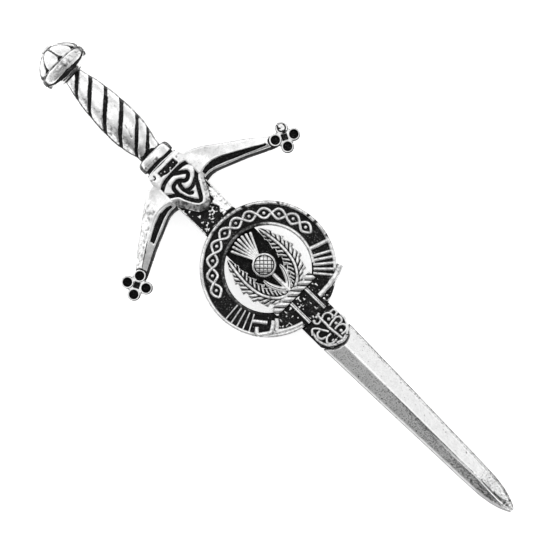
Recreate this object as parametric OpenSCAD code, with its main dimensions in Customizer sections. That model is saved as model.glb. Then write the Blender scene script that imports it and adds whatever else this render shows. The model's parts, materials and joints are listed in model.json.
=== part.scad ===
// Kilt pin shaped as a basket-less highland sword, with a strap-and-buckle badge on its blade.
// The sword lies on the brooch pin behind it: x runs across the guard, y from the point to the pommel
// and z from the brooch pin up to the face.

/* [Blade] */
// length of the blade, from its point to the guard
blade_len = 71.3; // [66:0.1:78]
// width of the blade at the guard
blade_w = 6.4; // [5.8:0.1:7]
// thickness at the middle ridge
ridge_t = 2.4; // [2:0.1:2.8]
// thickness at the two edges
edge_t = 0.6; // [0.4:0.1:0.9]
// width of the narrow bevel along each edge
bevel_w = 0.45; // [0.3:0.05:0.6]
// thickness of the flat stretch behind the badge
flat_t = 1.4; // [1.2:0.1:1.7]

/* [Guard] */
// span of the guard from end to end
guard_span = 37.1; // [34:0.1:40]
// drop from the shoulder to the middle of the ends
guard_drop = 9.6; // [8.8:0.1:10.6]
// height of the middle of the guard, from the blade to the collar
guard_h = 5.6; // [5:0.1:6.4]
// thickness along the ridge
guard_t = 2.9; // [2.6:0.1:3.3]
// how far the middle of the guard stands out on each side of the blade
guard_lip = 0.1; // [0.06:0.02:0.2]
// depth of the channel sunk along each arm
channel_d = 0.45; // [0.3:0.05:0.6]
// radius of each lobe of the ends
lobe_r = 1.0; // [0.9:0.05:1.1]
// radius of the blind hole in each lobe
lobe_hole_r = 0.72; // [0.6:0.02:0.8]
// distance from the middle of an end to its lobes
lobe_off = 1.52; // [1.4:0.02:1.6]
// width of the knot in the middle
knot_w = 6.8; // [6.2:0.1:6.8]
// height of the knot
knot_h = 6.3; // [5.8:0.1:6.6]
// width of the knot's strand
strand_w = 0.55; // [0.4:0.05:0.65]

/* [Grip and pommel] */
// length of the collar below the grip
collar_len = 2.5; // [2.2:0.1:3]
// width of the collar
collar_w = 6.0; // [5.4:0.1:6.6]
// length of the grip
grip_len = 17.1; // [15:0.1:20]
// width of the grip at its belly
grip_w = 5.9; // [5.2:0.1:6.6]
// depth of the spiral grooves
groove_d = 0.4; // [0.2:0.05:0.5]
// width of the pommel
pommel_w = 8.3; // [7.4:0.1:9.2]
// height of the pommel, without its button
pommel_h = 5.8; // [5.2:0.1:6.6]
// width of the button on top
button_w = 1.8; // [1.4:0.1:2.2]
// height of the button
button_h = 0.4; // [0.3:0.05:0.6]

/* [Badge] */
// outside diameter of the badge
badge_d = 21.3; // [20:0.1:23]
// width of the strap that makes the ring
strap_w = 3.85; // [3.5:0.05:4.1]
// thickness of the badge's ground
ground_t = 0.9; // [0.7:0.05:1.1]
// height of the rims and ribs above the ground
rim_h = 0.5; // [0.35:0.05:0.6]
// width of the rims
rim_w = 0.55; // [0.45:0.05:0.65]
// width of the cross ribs
rib_w = 0.35; // [0.25:0.05:0.45]
// width of the strand of the plait
plait_w = 0.48; // [0.36:0.02:0.54]
// height of the crest above the badge's ground
crest_h = 0.6; // [0.4:0.05:0.8]

/* [Strap end] */
// distance between the two rails of the strap's end
rail_gap = 3.25; // [3:0.05:3.6]
// width of a rail
rail_w = 0.55; // [0.45:0.05:0.65]
// width of the chape
chape_w = 5.8; // [5.4:0.1:5.8]
// width of the scrolls' strokes
scroll_w = 0.3; // [0.24:0.02:0.34]

/* [Brooch pin] */
// how far the brooch pin stands off behind the sword
standoff = 4.4; // [4:0.1:5]
// length of the brooch pin's bar
bar_len = 52; // [46:0.5:58]
// width of the bar
bar_w = 3.0; // [2.6:0.1:3.4]
// thickness of the bar
bar_t = 0.8; // [0.6:0.1:1]
// diameter of the pin wire
wire_d = 1.2; // [1:0.1:1.4]
// width of the hinge block and the catch
block_w = 4.4; // [4:0.1:5]
// length of the hinge block and the catch
block_len = 4.6; // [4:0.1:5.5]

/* [Hidden] */
// hairline between pieces that meet
seam = 0.02;
// how far a raised stroke is sunk into its ground
sunk = 0.15;
pin_len = blade_len + guard_h + collar_len + grip_len + pommel_h + button_h;
point_y = -pin_len / 2;
guard_y = point_y + blade_len;
collar_y = guard_y + guard_h;
grip_y = collar_y + collar_len;
guard_mid_w = blade_w + 2 * guard_lip;
pommel_y = grip_y + grip_len;

pewter = [0.78, 0.78, 0.79];
dark_pewter = [0.42, 0.42, 0.44];
steel = [0.66, 0.67, 0.69];

// a smooth line through the points p, in n steps from each to the next
function smooth(p, n) = concat([
    for (i = [0 : len(p) - 2], k = [0 : n - 1])
        let (a = p[max(i - 1, 0)], b = p[i], c = p[i + 1], d = p[min(i + 2, len(p) - 1)], t = k / n)
        (2 * b + (c - a) * t + (2 * a - 5 * b + 4 * c - d) * t * t
            + (3 * b - a - 3 * c + d) * t * t * t) / 2
], [p[len(p) - 1]]);

// unit vector square to the line p at its point i
function square_to(p, i) =
    let (d = p[min(i + 1, len(p) - 1)] - p[max(i - 1, 0)])
    [-d[1], d[0]] / norm(d);

// outline of a ribbon of width w along the line p
function ribbon(p, w) = concat(
    [for (i = [0 : len(p) - 1]) p[i] + square_to(p, i) * w / 2],
    [for (i = [len(p) - 1 : -1 : 0]) p[i] - square_to(p, i) * w / 2]);

function scaled(p, sx, sy) = [for (q = p) [q[0] * sx, q[1] * sy]];
function mirrored(p) = [for (q = p) [-q[0], q[1]]];

// a flat form from z0 to z1
module layer(z0, z1) {
    translate([0, 0, z0]) linear_extrude(z1 - z0) children();
}

// a raised stroke of width w along the line p, standing on a ground at z with height h
module stroke(p, w, z, h) {
    layer(z - sunk, z + h) polygon(ribbon(p, w));
}

// a skin over rings of points, closed by its two end rings
module skin(rings) {
    n = len(rings[0]);
    m = len(rings);
    sides = [
        for (j = [0 : m - 2], i = [0 : n - 1], half = [0, 1])
            let (a = j * n + i, b = j * n + (i + 1) % n)
            half == 0 ? [a, a + n, b + n] : [a, b + n, b]
    ];
    caps = [
        for (i = [1 : n - 2], last = [0, 1])
            let (k = last * (m - 1) * n)
            last == 0 ? [k, k + i, k + i + 1] : [k, k + i + 1, k + i]
    ];
    polyhedron([for (r = rings) for (q = r) q], concat(sides, caps), convexity = 4);
}

// half of a turned form on the flat back, its axis along y; the profile holds [radius, y]
module half_turned(profile) {
    rotate([-90, 0, 0]) rotate_extrude(angle = 180, start = 180) polygon(profile);
}

// Blade

// share of the blade's length from the point, share of its half width
blade_outline = [
    [0.0000, 0.10], [0.0035, 0.17], [0.0110, 0.25], [0.0200, 0.34], [0.0340, 0.44], [0.0480, 0.515],
    [0.0760, 0.605], [0.1460, 0.67], [0.2160, 0.705], [0.3560, 0.80], [0.5180, 0.885], [0.5495, 0.90]
];
// share of the ridge's height that is left right at the point
point_t = 0.45;
// where along the blade the ridge has reached its full height
ridge_from = 0.09;
// fall of the bevel from its inner line to the edge
bevel_fall = 0.4;

function blade_half(u) = lookup(u, blade_outline) * blade_w / 2;
function ridge_z(u) = edge_t + (ridge_t - edge_t) * min(1, point_t + (1 - point_t) * u / ridge_from);

function blade_ring(u) =
    let (
        w = blade_half(u),
        b = min(bevel_w, w / 3),
        rise = (ridge_z(u) - edge_t) / (ridge_t - edge_t),
        z = edge_t + bevel_fall * rise,
        y = point_y + u * blade_len)
    [[-w, y, 0], [-w, y, edge_t * rise], [b - w, y, z * rise], [0, y, ridge_z(u)],
        [w - b, y, z * rise], [w, y, edge_t * rise], [w, y, 0]];

// end of the chape, as it lies on the blade
chape_r = chape_w / 2 * 1.1;
chape_y = point_y + blade_len * 0.568;
chape_top = point_y + blade_len * 0.609;

chape_steps = 14;

// a rounded foot below square shoulders, let out all round by a small amount
module chape_outline(grow) {
    half = chape_w / 2 + grow;
    r = chape_r + grow;
    a = acos(half / r);
    polygon(concat(
        [for (k = [0 : chape_steps]) [0, chape_y] + polar(r, -180 + a + (180 - 2 * a) * k / chape_steps)],
        [[half, chape_top], [-half, chape_top]]));
}

// raised line along each edge of the flat stretch
flat_edge_w = 0.25;
flat_edge_h = 0.15;

module blade() {
    root = blade_w / 2;
    neck = blade_half(blade_outline[len(blade_outline) - 1][0]);
    color(pewter) difference() {
        skin([for (row = blade_outline) blade_ring(row[0])]);
        layer(flat_t, ridge_t + 1) chape_outline(seam);
    }
    color(dark_pewter) {
        layer(0, flat_t) intersection() {
            chape_outline(0);
            translate([-neck, point_y]) square([2 * neck, blade_len]);
        }
        layer(0, flat_t) polygon([
            [-neck, chape_y], [neck, chape_y], [root, guard_y - seam], [-root, guard_y - seam]]);
        for (s = [-1, 1])
            layer(flat_t - sunk, flat_t + flat_edge_h) polygon(ribbon([
                [s * (root - flat_edge_w), badge_y + badge_d / 2 + seam],
                [s * (root - flat_edge_w / 2), guard_y - langet_h * 0.4]], flat_edge_w));
    }
}

// Guard

// share of the way out from the blade, then how far below the shoulder the upper outline, the ridge, the
// lower edge and the foot of the wall lie, as shares of the drop, then the thickness as a share of guard_t and
// the height of the upper outline as a share of that thickness
arm_table = [
    [0.000, 0.000, 0.430, 0.540, 0.610, 1.00, 0.92],
    [0.063, 0.030, 0.395, 0.530, 0.590, 1.00, 0.70],
    [0.124, 0.075, 0.380, 0.535, 0.595, 1.00, 0.55],
    [0.190, 0.130, 0.390, 0.565, 0.630, 0.99, 0.47],
    [0.250, 0.195, 0.420, 0.605, 0.680, 0.97, 0.42],
    [0.444, 0.425, 0.595, 0.730, 0.815, 0.90, 0.40],
    [0.577, 0.575, 0.740, 0.835, 0.920, 0.84, 0.40],
    [0.710, 0.755, 0.880, 0.955, 1.020, 0.76, 0.45],
    [0.776, 0.835, 0.930, 0.990, 1.045, 0.70, 0.60]
];
// share of the way out, then the channel's upper and lower side as shares of the drop
channel_table = [
    [0.020, 0.470, 0.515], [0.082, 0.448, 0.520], [0.166, 0.448, 0.555], [0.275, 0.510, 0.620],
    [0.372, 0.595, 0.685], [0.468, 0.680, 0.750], [0.565, 0.765, 0.820], [0.662, 0.860, 0.885]
];
// how many rows of the table the channel follows on the left and on the right arm
channel_rows = [5, 8];
// heights of the ridge, the lower edge and the foot, as shares of the arm's thickness
arm_rise = [1.00, 0.74, 0.18];
shoulder_y = guard_y + guard_h * 0.82;
// top of the middle, where the knot lies
mid_z = guard_t;
end_x = guard_span / 2 - lobe_off * 0.9 - lobe_r;
end_y = shoulder_y - guard_drop;
end_t = guard_t * 0.66;
end_turn = 27;

function arm_x(u) = let (root = blade_w / 2 + 2 * seam) root + u * (guard_span / 2 - root);

function arm_ring(row) =
    let (x = arm_x(row[0]), t = row[5] * guard_t)
    [[x, shoulder_y - row[1] * guard_drop, 0],
        [x, shoulder_y - row[1] * guard_drop, row[6] * t],
        for (k = [0 : 2]) [x, shoulder_y - row[k + 2] * guard_drop, arm_rise[k] * t],
        [x, shoulder_y - row[4] * guard_drop, 0]];

// a block above the channel's floor, which falls with the arm
function channel_ring(row) =
    let (
        x = arm_x(row[0]),
        t = lookup(row[0], [for (r = arm_table) [r[0], r[5]]]) * guard_t,
        floor_z = t * arm_rise[1] - channel_d)
    [for (q = [[1, guard_t + 1], [2, guard_t + 1], [2, floor_z], [1, floor_z]])
        [x, shoulder_y - row[q[0]] * guard_drop, q[1]]];

// the right arm, with its channel sunk along the first rows of the channel's table
module arm(rows) {
    difference() {
        skin([for (row = arm_table) arm_ring(row)]);
        skin([for (k = [0 : rows - 1]) channel_ring(channel_table[k])]);
    }
}

// places of the two ends, the left one turned the other way
module at_end(s) {
    translate([s * end_x, end_y, 0]) rotate(-s * end_turn) children();
}

module lobes() {
    for (a = [0 : 90 : 270])
        rotate(a) translate([lobe_off, 0]) cylinder(h = end_t, r = lobe_r, $fn = 48);
    layer(0, end_t) square(lobe_off * 1.5, center = true);
}

// blind holes in the lobes and the sunk square between them
module lobe_holes() {
    hole_d = end_t * 0.6;
    for (a = [0 : 90 : 270])
        rotate(a) translate([lobe_off, 0, end_t - hole_d])
            cylinder(h = guard_t, r = lobe_hole_r, $fn = 48);
    layer(end_t - hole_d / 2, end_t + 1) square(lobe_off * 0.62, center = true);
}

// lines of the knot, in shares of its half width and of its height above its lower tip
knot_tip = [0.95, 0.74];
knot_long = [[-knot_tip[0], knot_tip[1]], [-0.63, 0.875], [-0.25, 0.925], [0.13, 0.83], [0.36, 0.64],
    [0.37, 0.44], [0.23, 0.25], [0.00, 0.04]];
knot_short = [[-knot_tip[0], knot_tip[1]], [-0.66, 0.60], [-0.32, 0.505], [0.00, 0.475], [0.32, 0.505],
    [0.66, 0.60], knot_tip];
knot_y = guard_y - guard_h * 0.49;
knot_steps = 3;
// clear ground beside the strand, and how deep it is sunk
knot_ground = 0.42;
knot_d = 0.5;

module knot(w, z0, z1) {
    for (line = [knot_long, mirrored(knot_long), knot_short])
        layer(z0, z1) translate([0, knot_y])
            polygon(ribbon(smooth(scaled(line, knot_w / 2, knot_h), knot_steps), w));
    for (s = [-1, 1])
        translate([s * knot_tip[0] * knot_w / 2, knot_y + knot_tip[1] * knot_h, z0])
            cylinder(h = z1 - z0, d = w, $fn = 24);
}

// outline of the V below the knot: share of the half middle width, share of the height down to its tip
langet_outline = [[1.00, 0.00], [0.98, 0.14], [0.78, 0.40], [0.60, 0.62], [0.40, 0.84], [0.00, 1.00]];
langet_h = guard_h * 0.84;

module guard_middle() {
    half = guard_mid_w / 2;
    v = [for (q = langet_outline) [q[0] * half, guard_y - q[1] * langet_h]];
    layer(0, mid_z) polygon([
        [-half, guard_y], [half, guard_y], [half, shoulder_y], [collar_w / 2, collar_y - seam],
        [-collar_w / 2, collar_y - seam], [-half, shoulder_y]]);
    layer(flat_t + seam, mid_z)
        polygon(concat([[-half, guard_y + seam], [half, guard_y + seam]], v,
            [for (k = [len(v) - 2 : -1 : 0]) [-v[k][0], v[k][1]]]));
}

// dark panel in the neck, above the knot
panel_w = guard_mid_w * 0.5;
panel_h = guard_h * 0.22;
panel_d = 0.35;

module guard() {
    color(pewter) {
        difference() {
            union() {
                mirror([1, 0, 0]) arm(channel_rows[0]);
                arm(channel_rows[1]);
                for (s = [-1, 1]) at_end(s) lobes();
            }
            for (s = [-1, 1]) at_end(s) lobe_holes();
        }
        difference() {
            guard_middle();
            knot(strand_w + 2 * knot_ground, mid_z - knot_d, mid_z + 1);
            layer(mid_z - panel_d, mid_z + 1)
                translate([-panel_w / 2, collar_y - 1.45 * panel_h]) square([panel_w, panel_h]);
        }
        knot(strand_w, mid_z - knot_d - sunk, mid_z);
    }
}

// Collar, grip and pommel

// share of the half width, share of the collar's length
collar_profile = [[0.00, 0.00], [0.97, 0.00], [1.00, 0.04], [1.00, 0.13], [0.86, 0.16], [0.86, 0.33],
    [0.96, 0.36], [1.00, 0.48], [1.00, 0.72], [0.96, 0.86], [0.88, 0.95], [0.76, 1.00], [0.00, 1.00]];

module collar() {
    color(pewter) half_turned([
        for (q = collar_profile) [q[0] * collar_w / 2, collar_y + q[1] * (collar_len - seam)]]);
}

// share of the grip's length from the collar, share of its half width
grip_outline = [[0.00, 0.68], [0.05, 0.70], [0.12, 0.80], [0.20, 0.91], [0.30, 0.985], [0.40, 1.00],
    [0.52, 0.975], [0.65, 0.91], [0.77, 0.82], [0.88, 0.69], [0.95, 0.58], [1.00, 0.52]];
grip_starts = 5;
grip_lead = 16.4;
grip_pitch = grip_lead / grip_starts;
// where the first groove crosses the middle, above the collar
grip_first = 1.0;
// across a groove and the strand beside it: share of the pitch, share of the groove's depth
groove_table = [[0.00, 1.0], [0.09, 0.9], [0.19, 0.0], [0.50, -0.2], [0.81, 0.0], [0.91, 0.9], [1.00, 1.0]];
grip_sides = 20;
// rows this far apart let the facets' edges run along the grooves
grip_row = grip_lead / 2 / grip_sides;

function between(t, v) =
    let (i = max([for (k = [0 : len(t) - 2]) t[k][0] <= v ? k : 0]))
    t[i][1] + (t[i + 1][1] - t[i][1]) * (v - t[i][0]) / (t[i + 1][0] - t[i][0]);

function grip_point(y, a) =
    let (
        phase = (y - grip_first - grip_lead * a / 360) / grip_pitch,
        sink = between(groove_table, phase - floor(phase)),
        r = grip_w / 2 * between(grip_outline, y / grip_len) - groove_d * sink)
    [r * sin(a), grip_y + y, r * cos(a)];

module grip() {
    rows = floor((grip_len - 2 * seam) / grip_row);
    color(pewter) skin([
        for (y = concat([for (j = [0 : rows]) seam + j * grip_row], [grip_len - seam]))
            [for (i = [0 : grip_sides]) grip_point(y, -90 + 180 * i / grip_sides)]]);
}

// share of the pommel's half width, share of its height, from below up to the foot of the dome
pommel_profile = [[0.00, 0.00], [0.44, 0.00], [0.76, 0.09], [0.93, 0.17], [0.98, 0.25], [0.93, 0.285],
    [0.99, 0.32], [1.00, 0.41], [0.98, 0.49], [0.94, 0.51], [0.94, 0.53]];
dome_from = 0.53;
dome_steps = 6;
// over 1, the dome is more pointed than an ellipse
dome_power = 1.6;
gore_turn = 45;
gore_w = 0.4;
gore_d = 0.35;

function dome_profile(inset) = [
    for (k = [0 : dome_steps])
        let (a = 90 * k / dome_steps)
        [(pommel_w / 2 - inset) * 0.97 * cos(a),
            pommel_y + pommel_h * (dome_from + (1 - dome_from) * pow(sin(a), dome_power)) - inset]];

module pommel() {
    body = [for (q = pommel_profile) [q[0] * pommel_w / 2, pommel_y + q[1] * pommel_h + seam]];
    foot_y = pommel_y + pommel_h * dome_from;
    color(pewter) {
        half_turned(concat(body, [[0, foot_y + seam]]));
        difference() {
            half_turned(concat([[0, foot_y - sunk]], dome_profile(0)));
            for (a = [-90 : gore_turn : 90]) intersection() {
                rotate([0, a, 0]) translate([-gore_w / 2, foot_y, 0])
                    cube([gore_w, pommel_h, pommel_w]);
                difference() {
                    translate([-pommel_w, foot_y, -pommel_w]) cube([2 * pommel_w, pommel_h, 2 * pommel_w]);
                    half_turned(concat([[0, foot_y - 2 * sunk]], dome_profile(gore_d)));
                }
            }
        }
        half_turned([
            [0, pommel_y + pommel_h - 4 * button_h], [button_w / 2, pommel_y + pommel_h - button_h],
            [button_w / 2, pommel_y + pommel_h], [button_w / 3, pommel_y + pommel_h + button_h],
            [0, pommel_y + pommel_h + button_h]]);
    }
}

// Badge

// floor inside the buckle and between the rails
floor_t = 0.12;
badge_r = badge_d / 2;
hole_r = badge_r - strap_w;
badge_y = point_y + blade_len * 0.752;
badge_z = flat_t + seam;
ground_z = badge_z + ground_t;
rim_z = ground_z + rim_h;
band_r = (badge_r - rim_w + hole_r + rim_w) / 2;
// the rims stop at these angles, where the strap's end hangs
outer_rim_ends = [-46, 222];
// beyond them the edge goes on at half height, worn, as far as the strap's end
worn_ends = [[-74, -46], [222, 256]];
inner_rim_ends = [-38, 218];
// angles of the cross ribs, and the outermost rib on the right, which is broader
left_ribs = [184.5, 190.3, 196.1, 201.9, 207.7];
right_ribs = [-50.5, -45.1, -39.7, -34.3, -28.9];
broad_rib = -19.5;
// ends of the plait, its crossings and its swing as a share of the strap's width
plait_ends = [-5, 165];
plait_loops = 11;
plait_swing = 0.21;
plait_steps = 88;
pellet_r = 0.24;

function polar(r, a) = [r * cos(a), r * sin(a)];

function plait_line(s) = [
    for (k = [0 : plait_steps])
        let (u = k / plait_steps)
        polar(band_r + s * plait_swing * strap_w * sin(180 * plait_loops * u),
            plait_ends[0] + (plait_ends[1] - plait_ends[0]) * u)];

module ring_sector(r0, r1, ends, z0, z1) {
    translate([0, 0, z0]) rotate_extrude(angle = ends[1] - ends[0], start = ends[0], $fn = 96)
        translate([r0, 0]) square([r1 - r0, z1 - z0]);
}

module rib(a, w) {
    rotate(a) translate([hole_r + rim_w / 2, -w / 2, ground_z - sunk])
        cube([strap_w - rim_w, w, rim_h * 0.8 + sunk]);
}

// folds of the strap at the bottom: a rim below the left panel and the free edge on the right
fold_left = [[-0.56, -0.70], [-0.52, -0.755], [-0.38, -0.845], [-0.20, -0.915]];
fold_right = [[0.225, -0.79], [0.42, -0.785], [0.62, -0.75], [0.77, -0.675]];

module badge_strap() {
    color(dark_pewter) translate([0, badge_y, 0]) {
        layer(badge_z, ground_z) difference() {
            circle(badge_r, $fn = 96);
            circle(hole_r, $fn = 96);
        }
    }
    color(pewter) translate([0, badge_y, 0]) {
        difference() {
            union() {
                ring_sector(badge_r - rim_w, badge_r, outer_rim_ends, ground_z - sunk, rim_z);
                for (ends = worn_ends)
                    ring_sector(badge_r - rim_w, badge_r, ends, ground_z - sunk, ground_z + rim_h / 2);
                stroke(smooth(scaled(fold_left, badge_r, badge_r), 3), rim_w, ground_z, rim_h);
                for (a = left_ribs) rib(a, rib_w);
            }
            layer(ground_z, rim_z + 1) {
                buckle_lines(2 * seam);
                buckle_bed(2 * seam);
            }
        }
        ring_sector(hole_r, hole_r + rim_w, inner_rim_ends, ground_z - sunk, rim_z);
        for (a = right_ribs) rib(a, rib_w);
        rib(broad_rib, 1.6 * rib_w);
        for (s = [-1, 1]) stroke(plait_line(s), plait_w, ground_z, rim_h * 0.8);
        for (k = [0 : plait_loops - 1])
            rotate(plait_ends[0] + (plait_ends[1] - plait_ends[0]) * (k + 0.5) / plait_loops)
                translate([band_r, 0, ground_z - sunk])
                    cylinder(h = rim_h * 0.6 + sunk, r = pellet_r, $fn = 24);
        stroke(smooth(scaled(fold_right, badge_r, badge_r), 3), rim_w, ground_z, rim_h * 0.9);
    }
}

// frame and tongue of the buckle, in shares of the badge's radius
buckle_frame = [[-0.715, -0.480], [-0.785, -0.555], [-0.715, -0.620], [-0.630, -0.675], [-0.570, -0.650],
    [-0.480, -0.585]];
buckle_tongue = [[-0.70, -0.375], [-0.63, -0.46], [-0.565, -0.545]];
// floor between them
buckle_floor = [[-0.715, -0.400], [-0.76, -0.54], [-0.63, -0.65], [-0.50, -0.59], [-0.58, -0.48]];
bed_mid = [-0.64, -0.53];

module buckle_lines(grow) {
    for (line = [buckle_frame, buckle_tongue])
        polygon(ribbon(smooth(scaled(line, badge_r, badge_r), 4), rim_w + grow));
}

module buckle_bed(grow) {
    polygon([for (q = buckle_floor) (q - bed_mid) * (1 + grow) * badge_r + bed_mid * badge_r]);
}

module buckle() {
    translate([0, badge_y, 0]) {
        color(pewter) layer(ground_z + seam, rim_z) buckle_lines(0);
        color(dark_pewter) layer(ground_z + seam, ground_z + seam + floor_t) buckle_bed(0);
    }
}

// Strap end and chape

tail_top = badge_y - hole_r * 0.925;
tail_bottom = badge_y - badge_r * 0.985;
// the strap's end hangs a little to the right of the blade's middle
tail_x = 0.3;

module strap_tail() {
    wide = rail_gap + rail_w;
    long = tail_top - tail_bottom;
    translate([tail_x, tail_bottom, 0]) {
        color(dark_pewter) layer(ground_z + seam, ground_z + seam + floor_t)
            translate([-wide / 2, 0]) square([wide, long]);
        color(pewter) for (s = [-1, 1]) {
            layer(ground_z + seam, rim_z) translate([(s * rail_gap - rail_w) / 2, 0]) square([rail_w, long]);
        }
    }
}

// scrolls on the chape, in shares of its half width from the middle of its round end: left, then right
scrolls = [
    [[-0.05, 0.60], [-0.17, 0.555], [-0.30, 0.57], [-0.385, 0.68], [-0.345, 0.80]],
    [[-0.92, 0.30], [-0.72, 0.565], [-0.53, 0.43], [-0.35, 0.14], [-0.19, -0.15]],
    [[-0.50, 0.23], [-0.69, 0.20], [-0.79, 0.03], [-0.72, -0.15], [-0.47, -0.23]],
    [[-0.16, -0.30], [-0.47, -0.30], [-0.66, -0.51], [-0.50, -0.72], [-0.16, -0.73]],
    [[0.07, 0.61], [0.31, 0.68], [0.51, 0.58], [0.59, 0.33], [0.48, 0.20]],
    [[0.60, 0.55], [0.83, 0.52], [0.87, 0.28], [0.61, 0.21]],
    [[0.07, 0.04], [0.33, 0.10], [0.62, 0.12], [0.80, -0.04], [0.70, -0.24], [0.45, -0.26]],
    [[0.14, -0.30], [0.42, -0.29], [0.66, -0.42], [0.69, -0.63], [0.51, -0.76], [0.20, -0.74]]
];
// round ends of the scrolls
scroll_balls = [[-0.345, 0.80], [0.30, 0.33], [0.42, -0.10], [0.33, -0.57]];
// the stem between them, from its spread foot to its head, and the head's crossbar
stem_line = [[0.10, -1.06], [0.07, -0.70], [0.02, -0.30], [0.00, 0.20], [0.02, 0.90]];
stem_head = [[-0.14, 0.87], [0.16, 0.92]];
stem_w = 0.48;
scroll_h = 0.4;
ball_r = 0.3;

module chape() {
    half = chape_w / 2;
    difference() {
        union() {
            color(dark_pewter) layer(badge_z, ground_z) chape_outline(0);
            color(pewter) translate([tail_x * 0.8, chape_y, 0]) {
                stroke(scaled(stem_line, half, half), stem_w, ground_z, scroll_h);
                stroke(scaled(stem_head, half, half), stem_w, ground_z, scroll_h);
                for (line = scrolls)
                    stroke(smooth(scaled(line, half, half), 3), scroll_w, ground_z, scroll_h);
                for (q = scroll_balls)
                    translate([q[0] * half, q[1] * half, ground_z - sunk])
                        cylinder(h = scroll_h + sunk, r = ball_r, $fn = 24);
            }
        }
        layer(0, rim_z + 1) translate([0, badge_y]) circle(badge_r + seam, $fn = 96);
    }
}

// Crest: a thistle spray on a twisted wreath

// middle line of a leaf, in shares of the ring's inner radius
leaf_line = [[-0.12, -0.74], [-0.34, -0.60], [-0.52, -0.32], [-0.585, 0.04], [-0.57, 0.40], [-0.50, 0.82]];
leaf_w = 0.50;
leaf_teeth = 7;
leaf_tooth = 0.36;
leaf_steps = 7;
vein_w = 0.3;
vein_h = 0.2;
// small leaf beside the stem
leaflet_line = [[0.00, -0.66], [-0.14, -0.50], [-0.24, -0.28], [-0.26, -0.10]];
leaflet_w = 0.9;
// head, its tuft and its stem
head_y = 0.13;
head_r = 0.28;
head_rise = 1.1;
tuft_rays = [-27, -18, -9, 0, 9, 18, 27];
tuft_to = 0.95;
ray_w = 0.40;
stalk_w = 0.7;
wreath_x = 0.62;
wreath_y = [-0.905, -0.70];
wreath_twists = 7;
wreath_slant = 0.09;
// grooves between the twists
twist_gap = 0.2;

// half width of a leaf at the share u of its length, with its saw teeth
function leaf_half(u) =
    let (t = u * leaf_teeth - floor(u * leaf_teeth))
    leaf_w / 2 * pow(sin(180 * min(1, 0.06 + 0.94 * u)), 0.6) * (1 - leaf_tooth * t);

function leaf_outline(line) =
    let (n = len(line) - 1)
    concat(
        [for (i = [0 : n]) line[i] + square_to(line, i) * leaf_half(i / n)],
        [for (i = [n - 1 : -1 : 1]) line[i] - square_to(line, i) * leaf_half(i / n)]);

// a flat form that stands on the blade inside the ring
module inside_ring(top) {
    layer(badge_z, top) intersection() {
        children();
        circle(hole_r - seam, $fn = 96);
    }
}

module leaf() {
    line = smooth(leaf_line, leaf_steps);
    top = ground_z + crest_h;
    inside_ring(top) polygon(scaled(leaf_outline(line), hole_r, hole_r));
    stroke(scaled(line, hole_r, hole_r), vein_w, top, vein_h);
    inside_ring(top) polygon(ribbon(scaled(smooth(leaflet_line, 3), hole_r, hole_r), leaflet_w));
}

// a bud swelling from a round foot, cut from a larger ball
module thistle_head(top) {
    r = head_r * hole_r;
    bud_r = (r * r + head_rise * head_rise) / (2 * head_rise);
    translate([0, head_y * hole_r, 0]) {
        layer(badge_z, top) circle(r, $fn = 64);
        intersection() {
            translate([0, 0, top - sunk + head_rise - bud_r]) sphere(bud_r, $fn = 96);
            layer(top - sunk, top + 2 * head_rise) circle(r, $fn = 64);
        }
    }
}

module tuft(top) {
    from = (head_y + 0.3 * head_r) * hole_r;
    long = (tuft_to - head_y) * hole_r;
    for (a = tuft_rays)
        inside_ring(top) polygon(ribbon([
            [0, from], [sin(a) * long * 0.8, head_y * hole_r + long * cos(a)]], ray_w));
}

module wreath(top) {
    difference() {
        layer(ground_z + seam, top) translate([-wreath_x * hole_r, wreath_y[0] * hole_r])
            square([2 * wreath_x * hole_r, (wreath_y[1] - wreath_y[0]) * hole_r]);
        for (k = [1 : wreath_twists - 1]) {
            x = (2 * k / wreath_twists - 1) * wreath_x;
            layer(top - 2 * sunk, top + 1) polygon(ribbon(scaled([
                [x + wreath_slant, wreath_y[0] - 0.02],
                [x - wreath_slant, wreath_y[1] + 0.02]], hole_r, hole_r), twist_gap));
        }
    }
}

module crest() {
    top = ground_z + crest_h;
    color(pewter) translate([0, badge_y, 0]) {
        leaf();
        mirror([1, 0, 0]) leaf();
        inside_ring(top - sunk)
            polygon(ribbon([[0, wreath_y[1] * hole_r], [0, head_y * hole_r]], stalk_w));
        thistle_head(top - sunk);
        tuft(top + vein_h / 2);
        wreath(top + vein_h / 2);
    }
}

// Brooch pin, one piece: a bar on the sword's back, a hinge block, the pin wire and a catch

// how far the wire's middle lies behind the sword's back
wire_drop = 2.9;
// how far the bar reaches past the foot of the guard
bar_over = 2;
// how far the wire is sunk into the catch's hook, and its play to the side
hook_bite = 0.05;
hook_play = 0.3;
wire_tip = 2.5;
hinge_y = guard_y + bar_over - block_len;
catch_y = guard_y + bar_over - bar_len;

module block(y) {
    translate([-block_w / 2, y, -standoff]) cube([block_w, block_len, standoff - bar_t / 2]);
}

module back_pin() {
    wire_len = hinge_y - catch_y;
    color(steel) {
        translate([-bar_w / 2, catch_y, -seam - bar_t]) cube([bar_w, bar_len, bar_t]);
        block(hinge_y);
        difference() {
            block(catch_y);
            translate([-wire_d / 2 - hook_play, catch_y - 1, -wire_drop - wire_d / 2 + hook_bite])
                cube([block_w, block_len + 2, wire_d + hook_play]);
        }
        translate([0, hinge_y + 1, -wire_drop]) rotate([90, 0, 0]) {
            cylinder(h = wire_len, d = wire_d, $fn = 32);
            translate([0, 0, wire_len]) cylinder(h = wire_tip, d1 = wire_d, d2 = wire_d / 4, $fn = 32);
        }
    }
}

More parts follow.
